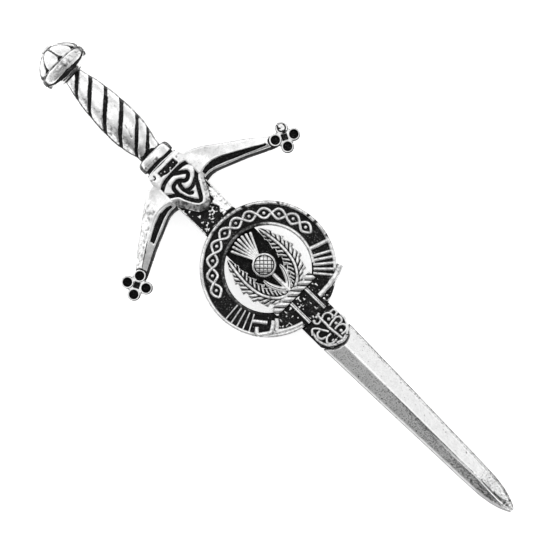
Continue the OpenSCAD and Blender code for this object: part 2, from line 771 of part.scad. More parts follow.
translate([0, 0, standoff]) pommel();
translate([0, 0, standoff]) grip();
translate([0, 0, standoff]) collar();
translate([0, 0, standoff]) guard();
translate([0, 0, standoff]) blade();
translate([0, 0, standoff]) badge_strap();
translate([0, 0, standoff]) buckle();
translate([0, 0, standoff]) strap_tail();
translate([0, 0, standoff]) chape();
translate([0, 0, standoff]) crest();
translate([0, 0, standoff]) back_pin();
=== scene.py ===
# %% [markdown]
# # A kilt pin in antiqued pewter
#
# The pin is a small flat-backed casting: a highland sword with a strap-and-buckle badge on its blade,
# and a steel brooch pin behind. Pewter is cast soft and rounded, dipped until it is black all over, and
# then polished, so that the high parts shine and the hollows stay black. Everything below serves those two
# ideas: soft raised forms, and a number on every vertex that says how high it rises, which the finish reads.

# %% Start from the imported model
import json
import math

import bpy
import numpy as np
from mathutils import Matrix, Vector

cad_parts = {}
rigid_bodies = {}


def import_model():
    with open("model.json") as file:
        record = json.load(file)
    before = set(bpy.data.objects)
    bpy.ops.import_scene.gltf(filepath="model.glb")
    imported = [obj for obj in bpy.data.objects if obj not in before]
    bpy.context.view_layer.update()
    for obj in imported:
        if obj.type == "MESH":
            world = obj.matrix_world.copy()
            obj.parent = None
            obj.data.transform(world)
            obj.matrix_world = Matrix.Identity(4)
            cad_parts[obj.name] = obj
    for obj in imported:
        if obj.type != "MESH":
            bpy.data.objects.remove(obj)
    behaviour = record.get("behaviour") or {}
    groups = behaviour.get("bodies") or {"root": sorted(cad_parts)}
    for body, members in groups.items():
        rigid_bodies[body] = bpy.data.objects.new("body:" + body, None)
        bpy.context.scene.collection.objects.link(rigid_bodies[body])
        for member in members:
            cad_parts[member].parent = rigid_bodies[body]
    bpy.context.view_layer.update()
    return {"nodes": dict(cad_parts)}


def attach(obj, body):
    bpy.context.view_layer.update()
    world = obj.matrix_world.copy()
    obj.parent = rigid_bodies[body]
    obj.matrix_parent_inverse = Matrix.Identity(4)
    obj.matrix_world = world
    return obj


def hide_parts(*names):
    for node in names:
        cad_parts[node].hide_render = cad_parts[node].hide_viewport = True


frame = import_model()
print("pieces of the packed model:", ", ".join(sorted(frame["nodes"])))

# %% [markdown]
# ## Sizes
# The drawing is kept in millimetres, like the solids, and turned into metres only when a mesh is made.
# y runs from the blade's point to the pommel, x across the guard, and z up from the table. What follows from
# another size is worked out from it, so that neighbours keep meeting when one of them changes.

# %% Named sizes in millimetres
MM = 0.001
BACK = 4.4                      # the flat back of the casting lies this far above the table
SEAM = 0.02                     # hairline between neighbouring pieces
BLADE_LEN, BLADE_W = 71.3, 6.4
RIDGE_T, EDGE_T, BEVEL_W, FLAT_T = 2.4, 0.6, 0.45, 1.4
GUARD_SPAN, GUARD_DROP, GUARD_H, GUARD_T = 37.1, 9.6, 5.6, 2.9
COLLAR_LEN, COLLAR_W = 2.5, 6.0
GRIP_LEN, GRIP_W = 17.1, 5.9
POMMEL_W, POMMEL_H, BUTTON_H = 8.3, 5.8, 0.4
BADGE_R, STRAP_W, GROUND_T, RIM_H, RIM_W = 10.65, 3.85, 0.9, 0.5, 0.55
PIN_LEN = BLADE_LEN + GUARD_H + COLLAR_LEN + GRIP_LEN + POMMEL_H + BUTTON_H
POINT_Y = -PIN_LEN / 2
GUARD_Y = POINT_Y + BLADE_LEN
COLLAR_Y = GUARD_Y + GUARD_H
GRIP_Y = COLLAR_Y + COLLAR_LEN
POMMEL_Y = GRIP_Y + GRIP_LEN
BADGE_Y = POINT_Y + 0.752 * BLADE_LEN
HOLE_R = BADGE_R - STRAP_W
GROUND = BACK + FLAT_T + SEAM + GROUND_T       # black ground of the badge
print(f"pin {PIN_LEN:.1f} mm long, badge ground at z {GROUND:.2f} mm")

# %% [markdown]
# ## Camera
# The photograph looks straight down on the pin, which lies across the frame from corner to corner. The
# camera could be turned with angles, but two directions, the picture's right and its top, say the same
# thing more plainly. A long lens from half a metre away keeps the sides parallel, as the photograph's do.

# %% Camera straight above
PICTURE_W = 85.68  # what the picture's width covers, in mm
FACE_Z = 6  # height of the decorated face
AIM_X, AIM_Y = 0.09, 0.85  # the picture's middle on the pin
rightward = (0.7033, -0.7109, 0.0)
upward = (0.7109, 0.7033, 0.0)


def put(name, data):
    """A new object in the scene."""
    thing = bpy.data.objects.new(name, data)
    bpy.context.collection.objects.link(thing)
    return thing


eye = bpy.data.cameras.new("camera")
eye.lens, eye.sensor_width = 200, 36
camera = put("camera", eye)
reach = PICTURE_W * eye.lens / eye.sensor_width + FACE_Z
camera.matrix_world = Matrix([
    [rightward[0], upward[0], 0, AIM_X * MM],
    [rightward[1], upward[1], 0, AIM_Y * MM],
    [0, 0, 1, reach * MM],
    [0, 0, 0, 1]])
eye.clip_start, eye.clip_end = 0.01, 10
scene = bpy.context.scene
scene.camera = camera
print(f"camera {reach:.0f} mm above the table")

# %% [markdown]
# ## Light and table
# Metal shows the room rather than itself. A bright card stands at the top of the picture and a dark one at
# the bottom, so faces that look up the picture turn white and faces that look down it turn grey. Cards of
# mesh would work too. The world's light gives the same in one smooth run from dark to bright, with no
# picture in it and no edge that a bright facet could mirror. It needs the first nodes, so *node*, which adds
# one, and *feed*, which fills its inputs, come here. All materials and trees below are built with them.

# %% A room that is bright at the top of the picture
def node(tree, kind, inputs=None, **settings):
    """A new node with its settings, and its inputs fed with plain values or with outputs of other nodes."""
    made = tree.nodes.new(kind)
    for label, value in settings.items():
        setattr(made, label, value)
    return feed(made, inputs or {})


def feed(made, inputs):
    """Sets a node's inputs by their names or numbers."""
    for label, value in inputs.items():
        if isinstance(value, bpy.types.NodeSocket):
            made.id_data.links.new(value, made.inputs[label])
        else:
            made.inputs[label].default_value = value
    return made


def value_ramp(tree, factor, stops):
    """A colour ramp in greys, from pairs of place and value."""
    ramp = node(tree, "ShaderNodeValToRGB", {"Fac": factor})
    ramp.color_ramp.interpolation = "EASE"
    while len(ramp.color_ramp.elements) < len(stops):
        ramp.color_ramp.elements.new(0.5)
    for element, (place, value) in zip(ramp.color_ramp.elements, stops):
        element.position = place
        element.color = (value, value, value, 1)
    return ramp.outputs["Color"]


ROOM_TONES = [(0.0, 0.22), (0.22, 0.5), (0.4, 0.68), (0.52, 0.86), (0.66, 0.97), (0.85, 1.0)]
scene.view_settings.view_transform = "Standard"
room = bpy.data.worlds.new("room")
scene.world = room
room.use_nodes = True
tree = room.node_tree
facing = node(tree, "ShaderNodeTexCoord").outputs["Generated"]
along = node(tree, "ShaderNodeVectorMath", {0: facing, 1: upward}, operation="DOT_PRODUCT")
spread = node(tree, "ShaderNodeMapRange", {"Value": along.outputs["Value"], "From Min": -1})
feed(tree.nodes["Background"], {"Color": value_ramp(tree, spread.outputs["Result"], ROOM_TONES)})
print("room from", ROOM_TONES[0][1], "at the bottom to", ROOM_TONES[-1][1], "at the top")

# %% [markdown]
# The room alone is too even to show the relief. A wide, soft sun from the top of the picture gives the
# raised forms a lit side. It is 80 degrees across, so nothing on the pin throws a hard shadow.

# %% One wide lamp
LAMP_LEAN = 0.30
lamp = bpy.data.lights.new("wide_lamp", "SUN")
lamp.energy, lamp.angle = 0.5, math.radians(80)
lamp_object = put("wide_lamp", lamp)
lamp_object.rotation_mode = "QUATERNION"
aim = Vector((-LAMP_LEAN * upward[0], -LAMP_LEAN * upward[1], -1))
lamp_object.rotation_quaternion = aim.to_track_quat("-Z", "Y")
print("lamp", lamp.name, "of", round(math.degrees(lamp.angle)), "degrees")

# %% [markdown]
# A small white card stands on edge beside the hilt, at its left. It whitens the sides of grip and pommel
# that would otherwise mirror the dark end of the room. An area lamp serves as the card: it needs no mesh
# in the picture, and its power is low, because it is only a few centimetres away.

# %% A white card beside the hilt
CARD_PLACE = (-18.4, 47.3, 31)
card = bpy.data.lights.new("white_card", "AREA")
card.shape, card.size, card.size_y = "RECTANGLE", 0.050, 0.060
card.energy = 0.003
card_object = put("white_card", card)
card_object.matrix_world = Matrix([
    [upward[0], 0, -rightward[0], CARD_PLACE[0] * MM],
    [upward[1], 0, -rightward[1], CARD_PLACE[1] * MM],
    [0, 1, 0, CARD_PLACE[2] * MM],
    [0, 0, 0, 1]])
print("card at", CARD_PLACE, "mm")

# %% [markdown]
# The pin lies on white paper that the photographer lit until it lost its texture. A sheet with a little
# light of its own does that with few lamps, and still takes the faint shadow of the casting.

# %% The table
TABLE_HALF = 1.5  # half its side, in metres
table_mesh = bpy.data.meshes.new("table_top")
table_mesh.from_pydata([(-TABLE_HALF, -TABLE_HALF, 0), (TABLE_HALF, -TABLE_HALF, 0),
                        (TABLE_HALF, TABLE_HALF, 0), (-TABLE_HALF, TABLE_HALF, 0)], [], [(0, 1, 2, 3)])
table_top = put("table_top", table_mesh)


def new_material(name):
    material = bpy.data.materials.new(name)
    material.use_nodes = True
    return material, material.node_tree, material.node_tree.nodes["Principled BSDF"]


paper, _, sheet = new_material("white_paper")
feed(sheet, {"Base Color": (0.92, 0.92, 0.92, 1), "Roughness": 0.9, "Emission Color": (1, 1, 1, 1),
             "Emission Strength": 0.62})
table_mesh.materials.append(paper)
print("table", 2 * TABLE_HALF, "m wide")

# %% [markdown]
# ## The finish
# Two effects make antiqued pewter. *Cast grain* is the fine unevenness that sand or rubber moulds leave,
# with a few open pits. *Patina* is the black that stays wherever the polishing wheel didn't reach. Both could
# be painted in each material, but each is a node group here, so that every pewter shares it with values of
# its own. The small helpers add one node each and join it up, which keeps the recipes short.

# %% Helpers for shader and geometry trees
def math_node(tree, operation, a, b=None):
    """One Math node. a and b are numbers or the outputs of other nodes."""
    inputs = {0: a} if b is None else {0: a, 1: b}
    return node(tree, "ShaderNodeMath", inputs, operation=operation).outputs[0]


def noise_node(tree, place, scale, detail, rough=0.5):
    inputs = {"Vector": place, "Scale": scale, "Detail": detail, "Roughness": rough}
    return node(tree, "ShaderNodeTexNoise", inputs).outputs["Fac"]


def range_node(tree, value, low, high, to_low=0.0, to_high=1.0):
    """A smooth step from to_low at low to to_high at high."""
    inputs = {"Value": value, "From Min": low, "From Max": high, "To Min": to_low, "To Max": to_high}
    return node(tree, "ShaderNodeMapRange", inputs, interpolation_type="SMOOTHSTEP").outputs["Result"]


def bump(tree, shader, height, strength, distance):
    inputs = {"Strength": strength, "Distance": distance * MM, "Height": height}
    feed(shader, {"Normal": node(tree, "ShaderNodeBump", inputs).outputs["Normal"]})


def new_group(kind, name, sockets_in, sockets_out):
    """An empty node group with named inputs and outputs."""
    tree = bpy.data.node_groups.new(name, kind)
    for label, socket_type, value in sockets_in:
        socket = tree.interface.new_socket(label, in_out="INPUT", socket_type=socket_type)
        if value is not None:
            socket.default_value = value
    for label, socket_type in sockets_out:
        tree.interface.new_socket(label, in_out="OUTPUT", socket_type=socket_type)
    return tree, tree.nodes.new("NodeGroupInput"), tree.nodes.new("NodeGroupOutput")


print("tree helpers ready")

# %% [markdown]
# The grain is two noises, one soft and one fine, and the pits are a third noise with everything below a
# threshold cut away. The group gives a height for the bump and a mask, because a pit also holds black.

# %% Cast grain: a fine height and a mask of small pits
FLOAT, VECTOR, COLOR = "NodeSocketFloat", "NodeSocketVector", "NodeSocketColor"
cast_grain, given, out = new_group("ShaderNodeTree", "cast_grain",
                                   [("Vector", VECTOR, None), ("Pits", FLOAT, 0.3)],
                                   [("Height", FLOAT), ("Pit Mask", FLOAT)])
place = given.outputs["Vector"]
soft = noise_node(cast_grain, place, 1400, 2)
fine = noise_node(cast_grain, place, 5200, 2, 0.6)
speck = noise_node(cast_grain, place, 3300, 1, 0.4)
threshold = math_node(cast_grain, "SUBTRACT", 0.90, given.outputs["Pits"])
pits = range_node(cast_grain, speck, threshold, math_node(cast_grain, "ADD", threshold, 0.07))
height = math_node(cast_grain, "ADD", math_node(cast_grain, "MULTIPLY", soft, 0.6),
                   math_node(cast_grain, "MULTIPLY", fine, 0.4))
height = math_node(cast_grain, "SUBTRACT", height, math_node(cast_grain, "MULTIPLY", pits, 0.8))
feed(out, {"Height": height, "Pit Mask": pits})
print(cast_grain.name, "has", len(cast_grain.nodes), "nodes")

# %% [markdown]
# The patina turns a vertex's rise into shine. A cloud of noise is added first, so that the border between
# black and bright is ragged, as a wheel leaves it. *Wear* says at which rise the metal is half bright. Over
# the bright part lies a thin film in patches, and in the black there are faint glints of bare metal.

# %% Patina: black hollows, grey slopes, polished tops
def times(a, b):
    return math_node(patina, "MULTIPLY", a, b)


def less(a, b):
    return math_node(patina, "SUBTRACT", a, b)


patina, given, out = new_group("ShaderNodeTree", "patina", [
    ("Vector", VECTOR, None), ("Rise", FLOAT, 1.0), ("Pit Mask", FLOAT, 0.0), ("Wear", FLOAT, 0.5),
    ("Film", FLOAT, 0.1), ("Mottle", FLOAT, 0.15), ("Ragged", FLOAT, 0.42)],
    [("Color", COLOR), ("Roughness", FLOAT), ("Metallic", FLOAT)])
place, rise, wear = (given.outputs[label] for label in ("Vector", "Rise", "Wear"))
cloud = noise_node(patina, place, 1900, 3, 0.6)
lifted = math_node(patina, "ADD", rise, times(less(cloud, 0.5), given.outputs["Ragged"]))
shine = range_node(patina, lifted, less(wear, 0.2), math_node(patina, "ADD", wear, 0.2))
shine = times(shine, less(1.0, times(given.outputs["Pit Mask"], 0.75)))
film_cloud = noise_node(patina, place, 420, 3, 0.6)
film = times(range_node(patina, film_cloud, 0.35, 0.75), given.outputs["Film"])
spots = range_node(patina, noise_node(patina, place, 3000, 2, 0.6), 0.40, 0.68)
spots = less(1.0, times(spots, given.outputs["Mottle"]))
glints = range_node(patina, noise_node(patina, place, 4300, 3, 0.65), 0.46, 0.74, 0.0, 0.58)
glints = times(glints, range_node(patina, film_cloud, 0.36, 0.66, 0.35, 1.0))
bright = times(times(shine, less(1.0, film)), spots)
bright = math_node(patina, "MAXIMUM", bright, glints)
feed(out, {"Color": value_ramp(patina, bright, [(0.0, 0.006), (0.25, 0.045), (0.55, 0.25), (0.85, 0.7), (1.0, 0.88)]),
           "Roughness": range_node(patina, bright, 0.0, 1.0, 0.70, 0.26),
           "Metallic": range_node(patina, bright, 0.05, 0.5, 0.25, 1.0)})
print(patina.name, "has", len(patina.nodes), "nodes")

# %% [markdown]
# Three pewters share the groups. The hilt was polished most and has a soft film. The blade has a finer and
# more ragged speckle. The badge was polished least, so its grounds stay black.

# %% Pewter, from the two groups
def pewter(name, pits, wear, film, mottle, relief, fineness=1.0, ragged=0.42):
    material, tree, shader = new_material(name)
    shader.inputs["Specular IOR Level"].default_value = 0.12
    spot = node(tree, "ShaderNodeTexCoord").outputs["Object"]
    risen = node(tree, "ShaderNodeAttribute", attribute_name="rise").outputs["Fac"]
    grain = node(tree, "ShaderNodeGroup", node_tree=cast_grain)
    feed(grain, {"Vector": spot, "Pits": pits})
    if fineness != 1.0:
        spot = node(tree, "ShaderNodeVectorMath", {0: spot, "Scale": fineness}, operation="SCALE").outputs[0]
    finish = node(tree, "ShaderNodeGroup", node_tree=patina)
    feed(finish, {"Vector": spot, "Rise": risen, "Pit Mask": grain.outputs["Pit Mask"], "Wear": wear, "Film": film,
                  "Mottle": mottle, "Ragged": ragged})
    feed(shader, {"Base Color": finish.outputs["Color"], "Roughness": finish.outputs["Roughness"],
                  "Metallic": finish.outputs["Metallic"]})
    bump(tree, shader, grain.outputs["Height"], relief, 0.06)
    return material


hilt_pewter = pewter("polished_pewter", pits=0.14, wear=0.45, film=0.22, mottle=0.12, relief=0.4)
blade_pewter = pewter("blade_pewter", pits=0.20, wear=0.45, film=0.06, mottle=0.08, relief=0.5,
                      fineness=2.3, ragged=0.80)
badge_pewter = pewter("blackened_pewter", pits=0.14, wear=0.5, film=0.2, mottle=0.25, relief=0.5)
print("pewters:", hilt_pewter.name, blade_pewter.name, badge_pewter.name)

# %% [markdown]
# The brooch pin is drawn steel with a nickel plating. Drawing leaves fine lines along the wire, which one
# noise gives when it is stretched along y. The same noise sets the tone, the roughness and the bump.

# %% Steel of the brooch pin
pin_steel, tree, shader = new_material("nickelled_steel")
place = node(tree, "ShaderNodeTexCoord").outputs["Object"]
stretched = node(tree, "ShaderNodeMapping", {"Vector": place, "Scale": (1, 0.06, 1)})
drawn = noise_node(tree, stretched.outputs["Vector"], 5200, 3, 0.6)
feed(shader, {"Metallic": 1, "Base Color": value_ramp(tree, drawn, [(0.3, 0.52), (0.7, 0.68)]),
              "Roughness": range_node(tree, drawn, 0.3, 0.7, 0.24, 0.36)})
bump(tree, shader, drawn, 0.15, 0.03)
print("steel:", pin_steel.name)

# %% [markdown]
# ## Helpers for cast forms
# No casting of this size is quite even, so most forms get a little noise of their own shape. It could come
# from a Displace modifier. A function of the place is used instead, because it can also steer the rise, and
# because the same seed gives the same lumps each time.

# %% Smooth noise, smooth steps and smooth lines
def uneven(points, size, seed):
    """Smooth random values from -1 to 1, with lumps about this many millimetres wide."""
    q = np.asarray(points, float) / size
    cell = np.floor(q).astype(np.int64)
    part = q - cell
    part = part * part * (3 - 2 * part)
    total = np.zeros(q.shape[:-1])
    for corner in np.ndindex(2, 2, 2):
        c = cell + corner
        h = (c[..., 0] * 73856093) ^ (c[..., 1] * 19349663) ^ (c[..., 2] * 83492791) ^ (seed * 2654435)
        h = (h * 1103515245 + 12345) & 0x7FFFFFFF
        h = (h ^ (h >> 13)) * 69069 & 0x7FFFFFFF
        share = np.prod(np.where(np.array(corner) == 1, part, 1 - part), axis=-1)
        total += share * (h / 0x3FFFFFFF - 1)
    return total


def flat_points(x, y):
    """Places in the plane as points, for the noise."""
    return np.stack([x, y, 0 * x], axis=-1)


def step(value, low, high):
    """0 below low, 1 above high, smooth between."""
    t = np.clip((np.asarray(value, float) - low) / (high - low), 0, 1)
    return t * t * (3 - 2 * t)


def softened(rows):
    """Rounds the corners of every row of points a little, its first and last points kept."""
    for _ in range(2):
        rows[:, 1:-1] = (rows[:, :-2] + 2 * rows[:, 1:-1] + rows[:, 2:]) / 4
    return rows


def flow(points, count):
    """A smooth line of this many points through a few chosen ones."""
    p = np.asarray(points, float)
    if len(p) == 2:
        t = np.linspace(0, 1, count)[:, None]
        return p[0] * (1 - t) + p[1] * t
    padded = np.vstack([2 * p[0] - p[1], p, 2 * p[-1] - p[-2]])
    u = np.linspace(0, len(p) - 1, count)
    i = np.minimum(u.astype(int), len(p) - 2)
    t = (u - i)[:, None]
    a, b, c, d = (padded[i + k] for k in range(4))
    return 0.5 * (2 * b + (c - a) * t + (2 * a - 5 * b + 4 * c - d) * t ** 2 + (3 * b - a - 3 * c + d) * t ** 3)


print("noise, steps and lines ready")

# %% [markdown]
# While it is being made, a part is three things: points in millimetres, faces, and the rise of each point,
# 0 in a black hollow and 1 on a polished top. Most parts are a *loft*, a skin over closed sections that
# follow one another. Blender could bridge edge loops for that, but a grid of points does it in one step and
# lets a formula shape every section.
# In places the rise also carries painted shade and painted light, besides the patina of the hollows.

# %% Parts of a mesh: points, faces and rise
def outward(points, faces, rise):
    """Turns all faces over if the skin is inside out, which its volume tells."""
    quads = np.array([f for f in faces if len(f) == 4])
    others = [(f[0], f[i], f[i + 1]) for f in faces if len(f) != 4 for i in range(1, len(f) - 1)]
    tris = np.vstack([quads[:, [0, 1, 2]], quads[:, [0, 2, 3]]] + ([np.array(others)] if others else []))
    a, b, c = (points[tris[:, k]] for k in range(3))
    if np.einsum("ij,ij->i", a, np.cross(b, c)).sum() < 0:
        faces = [f[::-1] for f in faces]
    return points, faces, rise


def loft(rings, rise, closed=False):
    """A skin over closed sections, with flat ends unless the sections run round in a circle."""
    rows, n = rings.shape[:2]
    j, i = np.meshgrid(np.arange(rows if closed else rows - 1), np.arange(n), indexing="ij")
    k, m = (j + 1) % rows, (i + 1) % n
    faces = np.stack([j * n + i, j * n + m, k * n + m, k * n + i], axis=-1).reshape(-1, 4).tolist()
    if not closed:
        faces += [list(range(n))[::-1], list(range((rows - 1) * n, rows * n))]
    return outward(rings.reshape(-1, 3), faces, np.asarray(rise, float).reshape(-1))


def flat_backed(sections, rise):
    """A loft of open sections, closed by two points on the casting's back."""
    back = sections[:, [-1, 0]].copy()
    back[..., 2] = BACK
    rise = np.concatenate([rise, np.full((len(rise), 2), 0.25)], axis=1)
    return loft(np.concatenate([sections, back], axis=1), rise)


def turned(profile, sides):
    """A lathe form from [radius, z, rise] rows, from its foot to its top."""
    rows = np.asarray(profile, float)
    a = np.linspace(0, 2 * math.pi, sides, endpoint=False)
    rings = np.stack([np.stack([r * np.cos(a), r * np.sin(a), np.full(sides, z)], axis=-1) for r, z, _ in rows])
    return loft(rings, np.repeat(rows[:, 2], sides))


def together(*parts):
    points, faces, rise, start = [], [], [], 0
    for p, f, r in parts:
        points.append(p)
        faces += [[v + start for v in face] for face in f]
        rise.append(r)
        start += len(p)
    return np.vstack(points), faces, np.concatenate(rise)


def mirrored(part):
    p, f, r = part
    return p * [-1, 1, 1], [face[::-1] for face in f], r


def moved(part, x=0.0, y=0.0, z=0.0, turn=0.0):
    p, f, r = part
    c, s = math.cos(math.radians(turn)), math.sin(math.radians(turn))
    return np.column_stack([c * p[:, 0] - s * p[:, 1] + x, s * p[:, 0] + c * p[:, 1] + y, p[:, 2] + z]), f, r


print("loft, turned, together, mirrored and moved ready")

# %% [markdown]
# A finished piece is made once its parts are together. Its mesh is written in metres where it belongs, so
# its object stays at the origin, and the solids it takes the place of are hidden.

# %% The finished piece in the place of its solid
def mesh_of(name, points, faces, rise):
    mesh = bpy.data.meshes.new(name)
    mesh.from_pydata(points.tolist(), [], faces)
    mesh.attributes.new("rise", "FLOAT", "POINT").data.foreach_set("value", rise)
    return mesh


def cast(name, part, material, slot_name, *nodes):
    points, faces, rise = part
    mesh = mesh_of(name, points * MM, faces, np.clip(rise, 0, 1))
    mesh.materials.append(material)
    mesh.shade_smooth()
    piece = put(name, mesh)
    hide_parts(*nodes)
    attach(piece, "root")
    triangles = sum(len(f) - 2 for f in faces)
    low, high = points.min(axis=0), points.max(axis=0)
    print(f"{name}: {triangles} triangles, from {low.round(2)} to {high.round(2)} mm")


# %% [markdown]
# The flat pieces with relief are *plates*: a height drawn over an outline. Sculpting or a displaced grid
# would do as well. Here the outline is a distance, negative inside, so that a form can be rounded or cut at
# its edge by that number alone. These two functions measure it.

# %% Distances to outlines and lines
def nearest(x, y, start, end):
    """Squared distance to one straight piece, and the share of it that lies before the nearest point."""
    (ax, ay), (bx, by) = start[:2], end[:2]
    dx, dy = bx - ax, by - ay
    t = np.clip(((x - ax) * dx + (y - ay) * dy) / (dx * dx + dy * dy + 1e-12), 0, 1)
    return (x - ax - t * dx) ** 2 + (y - ay - t * dy) ** 2, t


def edge_distance(x, y, outline):
    """Distance to a closed outline, negative inside."""
    p = np.asarray(outline, float)
    best = np.full(x.shape, 1e9)
    inside = np.zeros(x.shape, bool)
    for a, b in zip(p, np.roll(p, -1, axis=0)):
        best = np.minimum(best, nearest(x, y, a, b)[0])
        dx, dy = b - a
        if abs(dy) > 1e-12:
            inside ^= ((a[1] > y) != (b[1] > y)) & (x < dx * (y - a[1]) / dy + a[0])
    return np.where(inside, -1, 1) * np.sqrt(best)


def line_distance(x, y, line):
    """Distance to an open line, and the share of the line passed at the nearest point."""
    p = np.asarray(line, float)
    best, share = np.full(x.shape, 1e9), np.zeros(x.shape)
    for k in range(len(p) - 1):
        d, t = nearest(x, y, p[k], p[k + 1])
        share = np.where(d < best, (k + t) / (len(p) - 1), share)
        best = np.minimum(best, d)
    return np.sqrt(best), share


print("distances ready")

# %% [markdown]
# A plate starts as a square grid. The squares outside are dropped, the points on the rim are pulled onto
# the outline, and then every point gets its height. Walls and a back close it, as a casting is closed.

# %% Plates: a height over an outline
def grid_inside(distance, box, cell):
    """The squares of a grid whose middles lie inside, as x, y and quads."""
    x0, y0, x1, y1 = box
    x, y = np.meshgrid(np.arange(x0, x1 + cell, cell), np.arange(y0, y1 + cell, cell))
    middle = distance((x[:-1, :-1] + x[1:, 1:]) / 2, (y[:-1, :-1] + y[1:, 1:]) / 2) < 0
    index = np.arange(x.size).reshape(x.shape)
    corners = [index[:-1, :-1], index[:-1, 1:], index[1:, 1:], index[1:, :-1]]
    quads = np.stack(corners, axis=-1)[middle]
    used = np.unique(quads)
    number = np.full(x.size, -1)
    number[used] = np.arange(len(used))
    return x.ravel()[used].copy(), y.ravel()[used].copy(), number[quads]


def open_edges(quads, count):
    """The edges that only one square has."""
    edges = np.stack([quads, np.roll(quads, -1, axis=1)], axis=-1).reshape(-1, 2)
    return edges[~np.isin(edges[:, 0] * count + edges[:, 1], edges[:, 1] * count + edges[:, 0])]


def pull_to_outline(distance, x, y, on_rim, cell):
    h = 0.01
    for _ in range(3):
        ex, ey = x[on_rim], y[on_rim]
        away = distance(ex, ey)
        gx = (distance(ex + h, ey) - distance(ex - h, ey)) / (2 * h)
        gy = (distance(ex, ey + h) - distance(ex, ey - h)) / (2 * h)
        size = np.maximum(gx * gx + gy * gy, 0.2)
        x[on_rim] -= np.clip(away * gx / size, -cell, cell)
        y[on_rim] -= np.clip(away * gy / size, -cell, cell)


def plate(distance, box, cell, height, back, wall_rise=0.15):
    """A closed form over the region where distance is negative. height(x, y, d) gives z and rise."""
    x, y, quads = grid_inside(distance, box, cell)
    count = len(x)
    rim = open_edges(quads, count)
    on_rim = np.unique(rim)
    pull_to_outline(distance, x, y, on_rim, cell)
    inward = distance(x, y)
    inward[on_rim] = 0
    z, rise = height(x, y, inward)
    foot = back(x, y) if callable(back) else np.full(count, back)
    points = np.vstack([np.column_stack([x, y, z]), np.column_stack([x, y, foot])])
    faces = quads.tolist() + (quads[:, ::-1] + count).tolist()
    faces += [[int(p), int(p + count), int(q + count), int(q)] for p, q in rim]
    return points, faces, np.concatenate([rise, np.full(count, wall_rise)])


print("plates ready")

# %% [markdown]
# ## Geometry Nodes for what repeats or follows a line
# Three trees do the work of a die sinker's punches and gravers. All are built here in the script. Their
# sizes are named inputs, which a modifier knows by identifiers, so one function looks those up, adds the
# tree to an object and reads the finished mesh back as a plain part.

# %% Building a tree, running it and reading its result
def read_back(thing):
    """The evaluated object as points, faces and rise; the object itself is removed."""
    bpy.context.view_layer.update()
    solid = bpy.data.meshes.new_from_object(thing.evaluated_get(bpy.context.evaluated_depsgraph_get()))
    points = np.empty(len(solid.vertices) * 3)
    solid.vertices.foreach_get("co", points)
    rise = np.ones(len(solid.vertices))
    if "rise" in solid.attributes:
        solid.attributes["rise"].data.foreach_get("value", rise)
    faces = [list(p.vertices) for p in solid.polygons]
    thing.modifiers.clear()
    data = thing.data
    bpy.data.objects.remove(thing)
    (bpy.data.curves if isinstance(data, bpy.types.Curve) else bpy.data.meshes).remove(data)
    bpy.data.meshes.remove(solid)
    return points.reshape(-1, 3), faces, rise


def run_tree(thing, tree, **values):
    """Adds the tree to an object, sets its inputs by their identifiers and reads the result."""
    modifier = thing.modifiers.new(tree.name, "NODES")
    modifier.node_group = tree
    for item in tree.interface.items_tree:
        if item.item_type == "SOCKET" and item.in_out == "INPUT" and item.name in values:
            modifier[item.identifier] = values[item.name]
    return outward(*read_back(thing))


GEOMETRY, COUNT, MATERIAL = "NodeSocketGeometry", "NodeSocketInt", "NodeSocketMaterial"


def new_tree(name, inputs):
    sockets = [("Geometry", GEOMETRY, None)] + inputs + [("Material", MATERIAL, None)]
    return new_group("GeometryNodeTree", name, sockets, [("Geometry", GEOMETRY)])


def keep_rise(tree, mesh, value):
    """Stores a value as the rise of each point."""
    inputs = {"Name": "rise", "Geometry": mesh, "Value": value}
    stored = node(tree, "GeometryNodeStoreNamedAttribute", inputs, data_type="FLOAT", domain="POINT")
    return stored.outputs["Geometry"]


def end_tree(tree, given, out, shape):
    """Every tree ends the same way: real meshes, smooth, with the material set."""
    smooth = node(tree, "GeometryNodeSetShadeSmooth", {"Geometry": shape})
    real = node(tree, "GeometryNodeRealizeInstances", {"Geometry": smooth.outputs["Geometry"]})
    dressed = node(tree, "GeometryNodeSetMaterial", {"Geometry": real.outputs["Geometry"],
                                                     "Material": given.outputs["Material"]})
    feed(out, {"Geometry": dressed.outputs["Geometry"]})
    print("tree", tree.name, "has", len(tree.nodes), "nodes")


# %% [markdown]
# Ribs, plait, scrolls and rails are all *strokes*: rounded bars that follow a drawn line. A bevelled curve
# is round all the way. This tree sweeps a circle that it has first flattened to a width and a height, and it
# keeps each point's height on the circle, so that the stroke is polished on top and black at its foot.

# %% Tree 1: a rounded stroke swept along curves
stroke_tree, given, out = new_tree("raised_stroke", [
    ("Width", FLOAT, 0.5), ("Height", FLOAT, 0.4), ("Sides", COUNT, 14)])
section = node(stroke_tree, "GeometryNodeCurvePrimitiveCircle",
               {"Radius": 1, "Resolution": given.outputs["Sides"]}, mode="RADIUS")
place = node(stroke_tree, "GeometryNodeInputPosition").outputs[0]
on_circle = node(stroke_tree, "ShaderNodeSeparateXYZ", {0: place}).outputs
keep = node(stroke_tree, "GeometryNodeCaptureAttribute", domain="POINT")
keep.capture_items.new("FLOAT", "up")
feed(keep, {"Geometry": section.outputs["Curve"], "up": on_circle["Y"]})
half_width = math_node(stroke_tree, "MULTIPLY", given.outputs["Width"], 0.5)
flattened = node(stroke_tree, "ShaderNodeCombineXYZ", {
    "X": math_node(stroke_tree, "MULTIPLY", on_circle["X"], half_width),
    "Y": math_node(stroke_tree, "MULTIPLY", on_circle["Y"], given.outputs["Height"])})
oval = node(stroke_tree, "GeometryNodeSetPosition",
            {"Geometry": keep.outputs["Geometry"], "Position": flattened.outputs[0]})
sweep = node(stroke_tree, "GeometryNodeCurveToMesh", {
    "Curve": given.outputs["Geometry"], "Profile Curve": oval.outputs["Geometry"], "Fill Caps": True})
